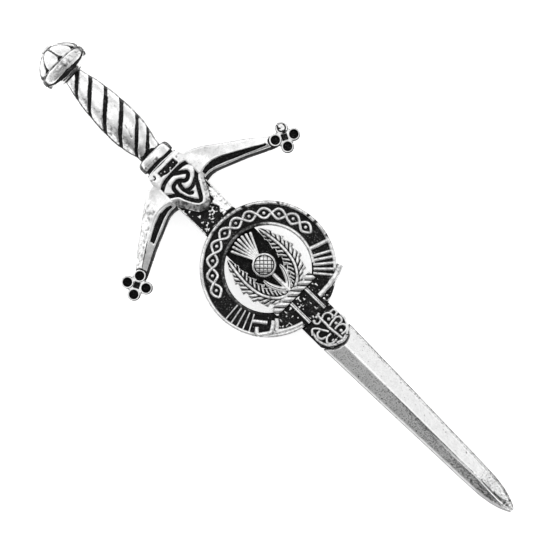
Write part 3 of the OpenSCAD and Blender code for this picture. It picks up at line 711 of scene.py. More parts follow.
risen = keep_rise(stroke_tree, sweep.outputs["Mesh"], range_node(stroke_tree, keep.outputs["up"], 0.0, -0.75))
end_tree(stroke_tree, given, out, risen)

# %% [markdown]
# The tree needs a curve to follow. Its points are spaced evenly along the drawn line, and the curve's
# radius shrinks in a quarter circle at both ends, so that every stroke ends round. A small wander keeps the
# line from looking ruled.

# %% Strokes along drawn lines
def bar_stations(length, spacing, short):
    """Places along a bar: even ones, and closer ones within the rounded ends."""
    at = np.linspace(0, length, max(3, int(length / spacing)))
    bend = np.sin(np.linspace(-0.5, 0.5, 7) * math.pi) * 0.5 + 0.5
    between_ends = at[(at > short * 1.02) & (at < length - short * 1.02)]
    return np.concatenate([bend * short, between_ends, length - short + bend * short])


def strokes(lines, width, height, z=0.0, sides=14, spacing=0.1, wander=0.0):
    """Rounded bars of this width and height along lines drawn in x and y, or x, y and z above the ground."""
    curve = bpy.data.curves.new("drawn_lines", "CURVE")
    curve.dimensions = "3D"
    for number, line in enumerate(lines):
        line = np.asarray(line, float)
        if line.shape[1] == 2:
            line = np.column_stack([line, np.zeros(len(line))])
        run = np.concatenate([[0], np.cumsum(np.linalg.norm(np.diff(line, axis=0), axis=1))])
        short = min(width / 2, run[-1] / 3)
        at = bar_stations(run[-1], spacing, short)
        p = np.column_stack([np.interp(at, run, line[:, k]) for k in range(3)])
        if wander:
            p[:, :2] += wander * np.column_stack([uneven(p, 0.7, 5 + number), uneven(p, 0.7, 55 + number)])
        from_end = np.minimum(at, run[-1] - at) / short
        size = np.sqrt(np.clip(1 - (1 - np.minimum(from_end, 1)) ** 2, 0.02, 1))
        spline = curve.splines.new("POLY")
        spline.points.add(len(p) - 1)
        spline.points.foreach_set("co", np.column_stack([p[:, 0], p[:, 1], p[:, 2] + z, np.ones(len(p))]).ravel())
        spline.points.foreach_set("radius", size)
    curve.twist_mode = "Z_UP"
    return run_tree(put("drawn_lines", curve), stroke_tree,
                    Width=width, Height=height, Sides=sides, Material=badge_pewter)


print("strokes ready")

# %% [markdown]
# Ribs, pellets and cups stand at even angles round a middle. An array with an object offset can do that.
# A tree that instances the part on points of an arc has the angles as plain inputs, and can shrink each copy
# a little by chance.

# %% Tree 2: copies of a part on an arc
arc_tree, given, out = new_tree("copies_on_an_arc", [
    ("Count", COUNT, 4), ("Radius", FLOAT, 1.0), ("Start", FLOAT, 0.0), ("Spacing", FLOAT, 90.0),
    ("Unevenness", FLOAT, 0.0), ("Seed", COUNT, 1)])
number = node(arc_tree, "GeometryNodeInputIndex").outputs[0]
turn = math_node(arc_tree, "MULTIPLY", number, given.outputs["Spacing"])
turn = math_node(arc_tree, "RADIANS", math_node(arc_tree, "ADD", turn, given.outputs["Start"]))
on_arc = node(arc_tree, "ShaderNodeCombineXYZ", {
    axis: math_node(arc_tree, "MULTIPLY", math_node(arc_tree, way, turn), given.outputs["Radius"])
    for axis, way in (("X", "COSINE"), ("Y", "SINE"))})
dots = node(arc_tree, "GeometryNodePoints", {"Count": given.outputs["Count"], "Position": on_arc.outputs[0]})
smallest = math_node(arc_tree, "SUBTRACT", 1.0, given.outputs["Unevenness"])
chance = node(arc_tree, "FunctionNodeRandomValue", {2: smallest, 3: 1.0, "Seed": given.outputs["Seed"]},
              data_type="FLOAT")
turned_by = node(arc_tree, "ShaderNodeCombineXYZ", {"Z": turn})
copies = node(arc_tree, "GeometryNodeInstanceOnPoints", {
    "Points": dots.outputs[0], "Instance": given.outputs["Geometry"], "Rotation": turned_by.outputs[0],
    "Scale": chance.outputs[1]})
end_tree(arc_tree, given, out, copies.outputs["Instances"])


def copies_on_arc(part, count, radius, start, spacing, unevenness=0.0, seed=1):
    return run_tree(put("pattern", mesh_of("pattern", *part)), arc_tree, Count=count, Radius=radius, Start=start,
                    Spacing=spacing, Unevenness=unevenness, Seed=seed, Material=badge_pewter)


# %% [markdown]
# ## Blade
# The blade has a ridge down its middle and a narrow bevel along each edge. Its section is the same rule all
# the way, only smaller towards the point, so it is lofted. The last sections bend round the foot of the
# chape, where the casting steps down to a flat stretch behind the badge.

# %% The ridged part: its form
CHAPE_W = 5.8
CHAPE_R = CHAPE_W / 2 * 1.1
CHAPE_Y = POINT_Y + 0.568 * BLADE_LEN
CHAPE_TOP = POINT_Y + 0.609 * BLADE_LEN
FLAT_FOOT = CHAPE_Y - 1.9  # where the ridged part ends and the flat stretch begins
BLADE_OUTLINE = np.array([  # share of the length, share of the half width
    [0.0, 0.1], [0.0035, 0.17], [0.011, 0.25], [0.02, 0.34], [0.034, 0.44], [0.048, 0.515],
    [0.076, 0.605], [0.146, 0.67], [0.216, 0.705], [0.356, 0.8], [0.518, 0.885], [0.5495, 0.9]])


def blade_section(x, half, u):
    """Height of the blade above its flat back, and what part of it is face and not bevel."""
    bevel = np.minimum(BEVEL_W, half / 3)
    lift = np.minimum(1, 0.45 + 0.55 * u / 0.09)
    ridge = EDGE_T + (RIDGE_T - EDGE_T) * lift
    knee = (EDGE_T + 0.4 * lift) * lift
    edge = np.where(x < 0, knee - 0.08, EDGE_T * lift)
    inner = half - bevel
    away = np.sqrt(x * x + 0.13 ** 2) - 0.05
    face_z = knee + (ridge - knee) * (1 - away / inner)
    bevel_z = edge + (knee - edge) * (half - np.abs(x)) / bevel
    z = np.minimum(np.where(np.abs(x) < inner, face_z, bevel_z), ridge)
    return softened(z), (np.abs(x) < inner).astype(float)


def blade_form(rows=380, across=81):
    """Points of the ridged part, the distance of each to its edge, and its share of face."""
    u = (FLAT_FOOT - POINT_Y) / BLADE_LEN * np.linspace(0, 1, rows) ** 1.25
    half = np.interp(u, BLADE_OUTLINE[:, 0], BLADE_OUTLINE[:, 1]) * BLADE_W / 2
    half[6:-6] = np.convolve(half, np.ones(7) / 7, "same")[6:-6]
    u, half = u[:, None], half[:, None]
    s = np.linspace(-1, 1, across)
    s = np.sign(s) * np.abs(s) ** 0.9
    x = half * s
    z, face = blade_section(x, half, u)
    foot = -np.sqrt(np.maximum(CHAPE_R ** 2 - x ** 2, 0.1)) + math.sqrt(CHAPE_R ** 2 - half[-1, 0] ** 2)
    late = np.clip((np.linspace(0, 1, rows) - 0.90) / 0.10, 0, 1)[:, None] ** 2
    y = POINT_Y + u * BLADE_LEN + late * foot - SEAM
    y[0] += 0.04 + SEAM
    p = np.stack([x, y, BACK + np.maximum(z, 0.05)], axis=-1)
    p[..., 2] += 0.018 * uneven(p, 2.2, 3) * (np.abs(s) < 0.98)
    return p, half - np.abs(x), face


print("ridged part from y", round(POINT_Y, 2), "to", round(FLAT_FOOT, 2), "mm")

# %% [markdown]
# Its rise follows the photo from the point up. The left face is grey and the right one bright: the grey is partly
# a speckled finish and partly painted shade. A dark line of painted shade lies on the ridge and fades out to its
# left, a bright burr runs beside it near the point, and the bevel on the right, the thin rim and a band inside
# it are greyed as painted shade. Each is a band of rise with soft sides.

# %% The ridged part: its finish and painted shade
# The left face is greyed partly by its speckled finish and partly as painted shade, as it is turned from the light.
LEFT_RISE = [(0, 0.54), (0.9, 0.53), (2, 0.45), (4, 0.43), (8, 0.485), (14, 0.545), (22, 0.575), (32, 0.6),
             (45, 0.62)]  # mm above the point, rise of the left face


def ridge_line_burr_and_shade(x, up):
    """Distance left of the ridge line, the dark line of painted shade on it, the burr beside it and the painted shade
    left of it.
    """
    ridge_x = np.interp(up, [1.1, 2.4, 4.4, 7.4, 13.3, 40], [0.88, 0.33, 0.0, 0.03, -0.10, -0.10])
    burr_x = np.interp(up, [2.0, 2.9, 7.9, 12.3, 16.0], [-0.30, -0.37, -0.16, -0.32, -0.32])
    to_left = ridge_x - x
    burr = np.exp(-((x - burr_x) / 0.10) ** 2) * step(up, 1.6, 2.6) * (1 - step(up, 13, 18))
    line = np.exp(-((x - ridge_x) / (0.07 + 0.17 * (1 - step(up, 2, 6)))) ** 2)
    line = line * (1 - step(up, 25, 33)) * step(up, 0.5, 1.2)
    shade_left_of_ridge = np.exp(-(np.clip(to_left, 0, None) / (0.10 + 0.42 * (1 - step(up, 16, 31)))) ** 2)
    return to_left, line, burr, step(to_left, -0.04, 0.06) * shade_left_of_ridge * (1 - step(up, 26, 33))


def blade_rise(x, up, rim, face, marks):
    to_left, line, burr, shade_left_of_ridge = marks
    left = step(to_left, -0.04, 0.06)
    rise = 1 - face * left * (1 - np.interp(up, *np.transpose(LEFT_RISE)))
    # painted shade fading out left of the ridge
    rise = rise - 0.08 * shade_left_of_ridge * (1 - burr) * step(up, 2, 5)
    # painted shade: the dark line on the ridge
    rise = rise - np.where(to_left > 0, 0.16 * step(up, 3, 6), 0.46) * line
    rise = rise + (1 - rise) * burr * 0.9
    # painted shade: the grey bevel, the dark thin rim and the grey band inside it
    rise = rise - (0.44 + 0.04 * (1 - step(up, 3, 12))) * (1 - face) * step(x, 0, 0.2)
    rise = np.minimum(rise, 0.38 + 0.62 * step(rim, 0.05, 0.13 + 0.07 * (x > 0)))
    rise = np.minimum(rise, 1 - 0.50 * np.exp(-(rim / 0.56) ** 4) * (x > 0) * (1 - step(up, 6, 15)))
    # the plain grey place right of the ridge at the point, and the tip itself
    plain_end = (1 - step(up, 1.4, 3.2)) * step(-to_left, 0.05, 0.3)
    rise = rise * (1 - plain_end) + (0.50 + 0.07 * step(rim, 0.3, 0.7)) * plain_end
    rise = np.minimum(rise, 1 - 0.44 * (1 - left) * face * (1 - step(up, 6, 12)))
    tip = 1 - step(up, 0.1, 0.9)
    return rise * (1 - tip) + 0.53 * tip


def ridged_blade():
    p, rim, face = blade_form()
    x, up = p[..., 0], p[..., 1] - POINT_Y
    marks = ridge_line_burr_and_shade(x, up)
    p[..., 2] += 0.05 * marks[2] - 0.03 * marks[1]
    return flat_backed(p, blade_rise(x, up, rim, face, marks))


print("left face rises from", min(v for _, v in LEFT_RISE), "to", max(v for _, v in LEFT_RISE))

# %% [markdown]
# The flat stretch lies lower than both its neighbours, so the polishing wheel has hardly met it. It is rough
# and black, with a few rubbed specks, and only the strip at its right side is smooth.

# %% The flat stretch
def smooth_strip(x, y, p):
    """1 on the smooth strip at the right, with its wavering side."""
    wavering = 0.6 * uneven(p, 0.9, 13) + 0.35 * uneven(p, 0.35, 14)
    inside = x - 1.25 + wavering + 1.2 * step(y, 16.9, 18.0) + 0.5 * step(14.4, y, y + 0.6)
    return step(inside, -0.12, 0.12) * step(y, 12.9, 13.2) * step(-y, -18.2, -17.6)


def flat_height(x, y, d):
    p = flat_points(x, y)
    rough = 0.6 * uneven(p, 0.42, 11) + 0.5 * uneven(p, 0.24, 12)
    in_sight = step(y, BADGE_Y + BADGE_R - 0.3, BADGE_Y + BADGE_R + 0.2)
    strip = smooth_strip(x, y, p)
    more_below = (1 - step(y, 14.8, 17.0)) * step(x, -2.6, -1.2)
    speck = step(rough + 0.22 * more_below, 0.37, 0.53)
    edge = step(d, -0.32, -0.14)
    z = BACK + FLAT_T + (0.07 * rough * (1 - strip) + 0.09 * speck + 0.12 * strip) * in_sight
    z = z - 0.12 * step(d, -0.12, 0.0) + 0.08 * edge * in_sight
    return z, np.maximum.reduce([0.05 + 0.55 * speck * in_sight, strip * in_sight, 0.75 * edge * in_sight])


def flat_stretch():
    foot, half_foot, half_mid, top = CHAPE_Y - 1.85, 2.6, 2.88, GUARD_Y - SEAM
    outline = [(-half_foot, foot), (half_foot, foot), (half_mid, CHAPE_Y), (BLADE_W / 2, top),
               (-BLADE_W / 2, top), (-half_mid, CHAPE_Y)]
    box = (-3.3, FLAT_FOOT, 3.3, GUARD_Y)
    return plate(lambda x, y: edge_distance(x, y, outline), box, 0.11, flat_height, BACK)


cast("blade_face", together(ridged_blade(), flat_stretch()), blade_pewter, "pewter", "blade")

# %% [markdown]
# ## Guard
# Each arm is one faceted bar that droops and thins towards its end: a bright facet above the ridge, a grey
# one below it, a sunk black channel and a thin rim. A table gives those lines at a few places along the arm,
# the lines are drawn smooth between them, and the sections are lofted.

# %% The arms: their lines and sections
ARM_TABLE = np.array([  # along the arm; down the droop to the top, ridge, edge and foot; thickness; height of the top
    [0.0, 0.0, 0.43, 0.54, 0.612, 1.0, 0.92], [0.063, 0.03, 0.395, 0.54, 0.6, 1.0, 0.77],
    [0.124, 0.075, 0.38, 0.56, 0.612, 1.0, 0.6], [0.19, 0.13, 0.39, 0.602, 0.648, 0.99, 0.47],
    [0.25, 0.195, 0.42, 0.643, 0.687, 0.97, 0.42], [0.444, 0.425, 0.605, 0.762, 0.818, 0.9, 0.4],
    [0.577, 0.575, 0.74, 0.865, 0.92, 0.84, 0.4], [0.71, 0.755, 0.88, 0.965, 1.02, 0.76, 0.45],
    [0.776, 0.835, 0.93, 0.998, 1.045, 0.7, 0.6]])
TOP_STEPS, FACE_STEPS, WALL_STEPS = 18, 24, 10   # points of a section from top to ridge, edge and foot
EDGE_POINT = 1 + TOP_STEPS + FACE_STEPS
SHOULDER_Y = GUARD_Y + GUARD_H * 0.82
ARM_ROOT = BLADE_W / 2 + 2 * SEAM


def arm_y(share):
    """The height in the picture of a share of the arm's droop."""
    return SHOULDER_Y - share * GUARD_DROP


def arm_sections(ridge_up):
    """Places along the arm, x, y and z of its sections, and y of its top and ridge lines."""
    u, top, ridge, edge, foot, thick, top_height = flow(ARM_TABLE, 170).T
    ridge = ridge + ridge_up * np.interp(u, [0.06, 0.2, 0.7], [0, 1, 1])
    t = thick * GUARD_T
    x = ARM_ROOT + u * (GUARD_SPAN / 2 - ARM_ROOT)
    x[0] -= 0.3
    corners = [(arm_y(top), top_height * t, TOP_STEPS), (arm_y(ridge), t, FACE_STEPS),
               (arm_y(edge), 0.74 * t, WALL_STEPS), (arm_y(foot), 0.18 * t, 0)]
    ys, zs = [arm_y(top)], [0.3 * top_height * t]
    for (y0, z0, n), (y1, z1, _) in zip(corners, corners[1:]):
        for k in range(n):
            ys.append(y0 + (y1 - y0) * k / n)
            zs.append(z0 + (z1 - z0) * k / n)
    ys.append(corners[-1][0])
    zs.append(corners[-1][1])
    section = softened(np.stack([np.array(ys).T, np.array(zs).T], axis=-1))
    return u[:, None], x[:, None], section[..., 0], section[..., 1], arm_y(top)[:, None], arm_y(ridge)[:, None]


print("arm of", len(ARM_TABLE), "drawn places, droop", GUARD_DROP, "mm")

# %% [markdown]
# The channel is cut into the finished sections where the photo shows it. The right one is a little wider
# and runs further out. Painted shade differs too: the left arm's upper facet, turned from the light, is greyed,
# and a painted shadow lies where the arm meets its cup. On both arms a thin line of painted shade runs along
# the rounded upper edge, and beyond the channel's end a band of painted shade lies below the ridge.

# %% The arms: channel, finish and painted shade
CHANNEL_TABLE = np.array([  # along the arm; down the droop to the upper and the lower side
    [0.02, 0.47, 0.515], [0.082, 0.448, 0.512], [0.166, 0.448, 0.545], [0.275, 0.51, 0.615],
    [0.372, 0.595, 0.685], [0.468, 0.68, 0.75], [0.565, 0.765, 0.82], [0.662, 0.86, 0.885]])
LOBE_R, LOBE_HOLE_R, LOBE_OFF = 1.0, 0.72, 1.52
END_X = GUARD_SPAN / 2 - LOBE_OFF * 0.9 - LOBE_R
END_Y = SHOULDER_Y - GUARD_DROP
END_T = GUARD_T * 0.66
END_TURN = 27


def arm_channel(u, x, y, end, raised):
    """How far each place is sunk, from 0 to 1, and the bead along the channel's upper side."""
    upper = arm_y(np.interp(u, CHANNEL_TABLE[:, 0], CHANNEL_TABLE[:, 1]) - raised)
    lower = arm_y(np.interp(u, CHANNEL_TABLE[:, 0], CHANNEL_TABLE[:, 2]))
    sunk = step(upper - y, -0.05, 0.10) * step(y - lower, -0.05, 0.10)
    slanted = end + 0.10 * (y - lower)
    sunk = sunk * step(x, 3.5, 3.75) * (1 - step(x, slanted - 0.1, slanted + 0.1))
    return sunk, np.exp(-((y - upper - 0.16) / 0.12) ** 2) * (1 - step(x, end, end + 2.5))


def arm_rise(p, ridge_y, sunk, round_edge, channel_end, shaded_facet, seed):
    x, y = p[..., 0], p[..., 1]
    rise = 1 - 0.97 * sunk
    wall = np.arange(y.shape[1]) > EDGE_POINT
    edge_y = y[:, [EDGE_POINT]]
    down = np.clip((edge_y - y) / (edge_y - y[:, -1:] + 1e-6), 0, 1)
    rise[:, wall] = 0.12 + 0.10 * np.clip(uneven(p[:, wall], 1.7, seed + 3), 0, 1) + 0.27 * down[:, wall]
    # painted shade: a thin dark line along the rounded upper edge, and the upper facet greyed by shaded_facet as it
    # turns from the light
    rise -= (0.60 - 0.2 * shaded_facet) * step(round_edge, 0.02, 0.5)
    facet = step(y - ridge_y, 0.0, 0.15) * step(x, 3.5, 6.5)
    rise = np.minimum(rise, 1 - shaded_facet * (1 + 0.10 * uneven(p, 0.5, seed + 4)) * facet)
    rise[:, 0] = 0.25
    # beyond the channel's end the lower facet has painted shade below the ridge, and random spots
    below = np.clip(ridge_y - y, 0, None)
    plain = step(x, channel_end + 0.1, channel_end + 0.5) * (y <= ridge_y + 0.02) * ~wall[None, :]
    spots = 0.18 * step(uneven(p, 0.4, seed + 2), 0.1, 0.6)
    return rise - plain * (0.50 * np.exp(-(below / 0.16) ** 2) + 0.18 * (1 - step(below, 0.1, 0.5)) + spots)


def arm(channel_end, seed, channel_up=0.0, cup_shadow=0.0, shaded_facet=0.0):
    """The right half of the guard. channel_up raises the channel's upper side."""
    u, x, y, z, top_y, ridge_y = arm_sections(1.4 * channel_up)
    sunk, bead = arm_channel(u, x, y, channel_end, channel_up)
    p = np.stack([np.broadcast_to(x, y.shape), y, BACK + z - 0.42 * sunk + 0.05 * bead], axis=-1)
    p[..., 2] += (0.03 * uneven(p, 1.6, seed) + 0.015 * uneven(p, 0.5, seed + 1)) * (1 - 0.6 * sunk)
    round_edge = np.clip(1 - (top_y - y) / 0.36, 0, 1) ** 2 * step(u, 0.03, 0.10)
    p[..., 2] -= 0.30 * round_edge
    rise = arm_rise(p, ridge_y, sunk, round_edge, channel_end, shaded_facet, seed)
    # the arm dives under its nearest cup
    turn = math.radians(END_TURN)
    cup_x, cup_y = END_X - LOBE_OFF * math.cos(turn), END_Y + LOBE_OFF * math.sin(turn)
    from_cup = np.hypot(p[..., 0] - cup_x, p[..., 1] - cup_y)
    under = 1 - step(from_cup, LOBE_R - 0.12, LOBE_R - 0.04)
    p[..., 2] = p[..., 2] * (1 - under) + (BACK + 0.3) * under
    # painted shadow where the arm meets its cup
    rise -= np.exp(-((from_cup - LOBE_R - 0.10) / 0.13) ** 2) * cup_shadow
    return flat_backed(p, rise)


left_arm = mirrored(arm(channel_end=9.75, seed=31, cup_shadow=0.85, shaded_facet=0.44))
right_arm = arm(channel_end=13.6, seed=41, channel_up=0.018)
print("arms with", len(left_arm[0]) + len(right_arm[0]), "points")

# %% [markdown]
# The ends are four cups round a small sunk square. One cup is turned as on a lathe, and the arc tree sets
# four of them round the middle. On the real pin the polishing wheel nearly closed one cup of the right end,
# so that end has three copies and a shallow dish.

# %% The four-cup ends
END_SHIFT = {-1: (0.0, 0.1), 1: (0.22, -0.05)}   # the ends sit a little off their even places
WEB_HALF = LOBE_OFF * 0.75  # the square web between the cups
CUP_SIDES = 44


def cup(top=END_T):
    hole = LOBE_HOLE_R
    return turned([
        [0.0, 0, 0.2], [LOBE_R, 0, 0.2], [LOBE_R, top * 0.55, 0.25], [LOBE_R, top - 0.22, 0.25],
        [LOBE_R - 0.03, top - 0.10, 0.45], [LOBE_R - 0.06, top - 0.02, 0.95], [LOBE_R - 0.11, top, 1],
        [LOBE_R - 0.2, top - 0.01, 1], [hole + 0.03, top - 0.03, 0.95], [hole, top - 0.12, 0.3],
        [hole - 0.02, top - 0.22, 0.05], [hole - 0.05, top * 0.4, 0.0], [hole * 0.7, top * 0.36, 0.03],
        [0.0, top * 0.38, 0.06]], CUP_SIDES)


def worn_cup(top=END_T):
    """A shallow dish with a broken black ring."""
    hole = LOBE_HOLE_R
    points, faces, rise = turned([
        [0.0, 0, 0.2], [LOBE_R, 0, 0.2], [LOBE_R, top - 0.22, 0.25], [LOBE_R - 0.04, top - 0.09, 0.5],
        [LOBE_R - 0.12, top - 0.03, 1], [hole + 0.04, top - 0.06, 1], [hole - 0.04, top - 0.18, 0.1],
        [hole - 0.20, top - 0.20, 0.1], [hole - 0.26, top - 0.12, 0.9], [0.22, top - 0.16, 0.9],
        [0.0, top - 0.2, 0.5]], CUP_SIDES)
    on_top = points[:, 2] > top * 0.6
    angle = np.degrees(np.arctan2(points[:, 1], points[:, 0]))
    gap = on_top * np.exp(-(((angle - 95) / 48) ** 2) ** 2)
    return points, faces, np.maximum(rise, 0.95 * gap) - 0.7 * (uneven(points, 0.3, 45) > 0.55) * on_top


def web(x, y):
    """Distance to the web: the square, less the holes of the four cups."""
    places = [(1, 0), (0, 1), (-1, 0), (0, -1)]
    holes = np.minimum.reduce([np.hypot(x - LOBE_OFF * cx, y - LOBE_OFF * cy) for cx, cy in places])
    r = WEB_HALF
    return np.maximum(edge_distance(x, y, [(-r, -r), (r, -r), (r, r), (-r, r)]), LOBE_HOLE_R + 0.09 - holes)


def web_height(x, y, d):
    inside = np.maximum(np.abs(x), np.abs(y))
    square = LOBE_OFF * 0.62 / 2
    sunk = 1 - step(inside, square - 0.05, square + 0.05)
    edge = step(inside, WEB_HALF - 0.2, WEB_HALF)
    return BACK + END_T - 0.05 - 0.5 * sunk - 0.25 * edge, 0.95 - 0.9 * sunk - 0.4 * edge


def end_of_arm(side):
    """The end on the left, side -1, or on the right, side 1."""
    cups = copies_on_arc(cup(), 4 if side < 0 else 3, LOBE_OFF, 180, 90)
    if side > 0:
        cups = together(cups, moved(worn_cup(), y=LOBE_OFF))
    middle = plate(web, (-WEB_HALF, -WEB_HALF, WEB_HALF, WEB_HALF), 0.055, web_height, BACK + 0.2)
    centre = np.array([side * END_X, END_Y]) + END_SHIFT[side]
    points, faces, rise = moved(together(moved(cups, z=BACK), middle), *centre, 0, -side * END_TURN)
    # painted shade: a dark crescent on the lower side of each cup's rim
    for quarter in range(4):
        angle = math.radians(90 * quarter - side * END_TURN)
        off = points[:, :2] - centre - LOBE_OFF * np.array([math.cos(angle), math.sin(angle)])
        away = np.hypot(off[:, 0], off[:, 1])
        shaded_rim_side = step(-off[:, 1] / (away + 1e-6), 0.25, 0.8)
        rise = rise * (1 - 0.75 * shaded_rim_side * step(away, LOBE_R - 0.17, LOBE_R - 0.07) * (away < LOBE_R + 0.01))
    return points, faces, rise


arm_ends = together(end_of_arm(-1), end_of_arm(1))
print("cups of the two ends hold", len(arm_ends[0]), "points")

# %% [markdown]
# The middle carries a sunk three-cornered knot. It is drawn the way an engraver would cut it: the black
# lines are grooves, and the bright band is what they leave standing. Below it the casting narrows to a V.

# %% The middle: its outline and the knot's lines
KNOT_DRAWN = [
    [(-3.35, 21.8), (-3.15, 22.5), (-1.8, 23.25), (0.2, 23.42), (2.15, 23.35), (3.1, 22.85), (3.62, 21.85),
     (3.1, 21.2), (2.1, 20.25), (1.45, 19.15), (0.17, 17.4), (-1.05, 19.0), (-1.6, 20.35), (-2.7, 21.15),
     (-3.35, 21.80)],
    [(-1.6, 20.45), (-1.48, 21.55), (-1.05, 22.0), (-0.25, 22.02), (0.25, 21.7), (0.55, 21.38), (1.1, 21.25),
     (1.65, 21.6), (1.8, 22.0), (1.3, 22.5), (0.65, 22.95), (0.1, 23.35)],
    [(0.1, 21.72), (-0.35, 21.45), (-0.48, 20.45), (-0.05, 19.95), (0.7, 19.85), (1.45, 20.05), (2.05, 20.35)],
    [(-0.42, 20.3), (-0.2, 19.5), (0.12, 19.2)]]
knot_lines = [flow(np.array(line) + [0.03, -0.17], 60) for line in KNOT_DRAWN]
LANGET_H = GUARD_H * 0.84
MIDDLE_HALF = BLADE_W / 2 + 0.1
langet = [(MIDDLE_HALF * a, GUARD_Y - b * LANGET_H) for a, b in
          [(1.0, 0.0), (0.98, 0.14), (0.78, 0.4), (0.6, 0.62), (0.4, 0.84), (0.0, 1.0)]]
right_side = [(COLLAR_W / 2, COLLAR_Y - SEAM), (MIDDLE_HALF, SHOULDER_Y),
              (MIDDLE_HALF + 0.35, SHOULDER_Y - 0.45), (MIDDLE_HALF + 0.35, GUARD_Y + 0.4)]
left_side = [(-MIDDLE_HALF, GUARD_Y)] + [(-x, y) for x, y in right_side[::-1]]
middle_outline = left_side + right_side + langet + [(-x, y) for x, y in langet[-2:0:-1]]
print("middle outline of", len(middle_outline), "points, knot of", len(knot_lines), "lines")

# %% [markdown]
# Above the knot lies a small sunk panel with a few rubbed beads, and two notches mark where its scrolls end.
# All of it is one height over the outline, because the forms flow into one another without a seam.

# %% The middle: its height and finish
NECK_BEADS = [(0.48, 24.16, 0.16), (0.23, 23.9, 0.12), (-0.56, 24.33, 0.15), (1.4, 24.42, 0.12),
              (-1.15, 24.55, 0.10)]
KNOT_FOOT_X = 0.17  # the V's point lies this far right of the middle


def neck_panel(x, y, p):
    """The sunk panel, and the beads in it."""
    foot = 23.80 + 0.26 * (1 - step(x, -1.2, -0.4))
    panel = 1 - step(np.abs(x - 0.18 + 0.12 * uneven(p, 0.5, 23)), 1.55, 1.80)
    panel = panel * step(y + 0.06 * uneven(p, 0.4, 24) - foot, -0.10, 0.10)
    panel = panel * (1 - step(y, 24.80, 25.00))
    beads = np.maximum.reduce([np.exp(-(np.hypot(x - a, y - b) / r) ** 4) for a, b, r in NECK_BEADS])
    return panel, beads * panel


def scroll_notches(x, y):
    """A curled notch left of the panel and a dot right of it."""
    loop_x, loop_y = x + 2.50, y - 24.80
    loop = np.hypot(loop_x, loop_y) + 1e-6
    curl = np.exp(-((loop - 0.25) / 0.10) ** 2) * step((0.7 * loop_x - 0.7 * loop_y) / loop, -0.5, 0.1)
    return curl + 0.7 * np.exp(-(np.hypot(x - 2.34, y - 24.60) / 0.14) ** 2)


def middle_height(x, y, d):
    p = flat_points(x, y)
    away = np.minimum.reduce([line_distance(x, y, line)[0] for line in knot_lines])
    width = 0.265 + 0.03 * uneven(p, 0.8, 21)
    cut = 1 - step(away, width - 0.07, width + 0.08)
    crown = (1 - step(away, width, width + 0.32)) * 0.10
    # outside the knot the V slopes down to the blade
    beyond = np.clip(edge_distance(x, y, knot_lines[0]) - 0.30, 0, None)
    low = 1 - step(y, 19.6, 21.2)
    slope = low * (0.22 * beyond + 0.26 * beyond ** 2) * (1 + 0.15 * (x < KNOT_FOOT_X))
    panel, beads = neck_panel(x, y, p)
    z = BACK + GUARD_T - 0.46 * cut - crown - slope - 0.32 * (panel - 0.7 * beads)
    z += 0.02 * uneven(p, 1.2, 26) * (1 - cut)
    # both sides fall off towards the arms
    out = np.clip(np.abs(x) - 2.2, 0, None)
    past = np.abs(x) - MIDDLE_HALF
    z -= 0.19 * out ** 2 * step(y, 20.2, 24.3) * (1 - step(y, 24.6, 25.0))
    z -= 2.0 * np.clip(past, 0, None) ** 1.5 + 0.3 * step(past, 0.1, 0.3)
    # painted shade, with a random mottle, on the V's slopes outside the knot; it comes in more slowly on the right
    # side
    slope_shade = 0.46 + 0.10 * uneven(p, 0.34, 27) + 0.06 * uneven(p, 0.9, 28)
    slope_shade = low * step(beyond, 0.08, 0.30 + 0.25 * (x > KNOT_FOOT_X)) * slope_shade
    rise = 1 - 0.98 * cut - 0.95 * (panel - beads) - slope_shade
    notch = scroll_notches(x, y)
    # the outline is rounded down and greyed there as painted shade, fully at the V's point and faintly at the top
    round_off = np.clip(1 + d / 0.2, 0, 1) ** 2 * ((y < 19.5) + 0.3 * (y > 24.6))
    return z - 0.2 * round_off - 0.3 * notch, rise - 0.6 * round_off - 0.9 * notch


def middle_back(x, y):
    """The V lies on the flat stretch of the blade; the rest goes down to the casting's back."""
    return np.where(y > GUARD_Y + 0.01, BACK, BACK + FLAT_T + SEAM)


middle_box = (-MIDDLE_HALF - 0.4, GUARD_Y - LANGET_H - 0.02, MIDDLE_HALF + 0.4, COLLAR_Y)
middle = plate(lambda x, y: edge_distance(x, y, middle_outline), middle_box, 0.062, middle_height, middle_back)
cast("guard_face", together(left_arm, right_arm, arm_ends, middle), hilt_pewter, "pewter", "guard")

# %% [markdown]
# ## Collar, grip and pommel
# The hilt is half round: turned forms cut flat behind, so that the pin lies close to the cloth. Collar and
# pommel are drawn as a profile, in shares of their width and height, and turned through half a circle. On
# their steep sides the black stays, partly as patina where no polishing wheel reaches and partly as painted
# shade along the outline.

# %% Half-turned forms
def steep_sides(p, amount):
    """How much a place is darkened for its steepness, as patina and as painted shade along the outline."""
    n = np.cross(np.gradient(p, axis=0), np.gradient(p, axis=1))
    level = np.abs(n[..., 2]) / (np.linalg.norm(n, axis=-1) + 1e-12)
    return amount * (1 - step(level, 0.30, 0.60))


def half_turned(profile, sides, reshape):
    """A flat-backed lathe form from [radius, y, rise] rows. reshape(angle, r, y, rise) may change all three."""
    a = np.linspace(-90, 90, sides)
    r, y, rise = (np.repeat(profile[:, [k]], sides, axis=1) for k in range(3))
    a = np.broadcast_to(a, r.shape)
    r, y, rise = reshape(a, r, y, rise)
    p = np.stack([r * np.sin(np.radians(a)), y, BACK + r * np.cos(np.radians(a))], axis=-1)
    return loft(p, np.maximum(rise - steep_sides(p, 0.56), np.minimum(rise, 0.41)))


def fine_profile(rows, count):
    """The drawn profile with this many evenly spaced rows, its corners a little rounded."""
    rows = np.asarray(rows, float)
    run = np.concatenate([[0], np.cumsum(np.linalg.norm(np.diff(rows[:, :2], axis=0), axis=1))])
    at = np.linspace(0, run[-1], count)
    return softened(np.column_stack([np.interp(at, run, rows[:, k]) for k in range(3)])[None])[0]


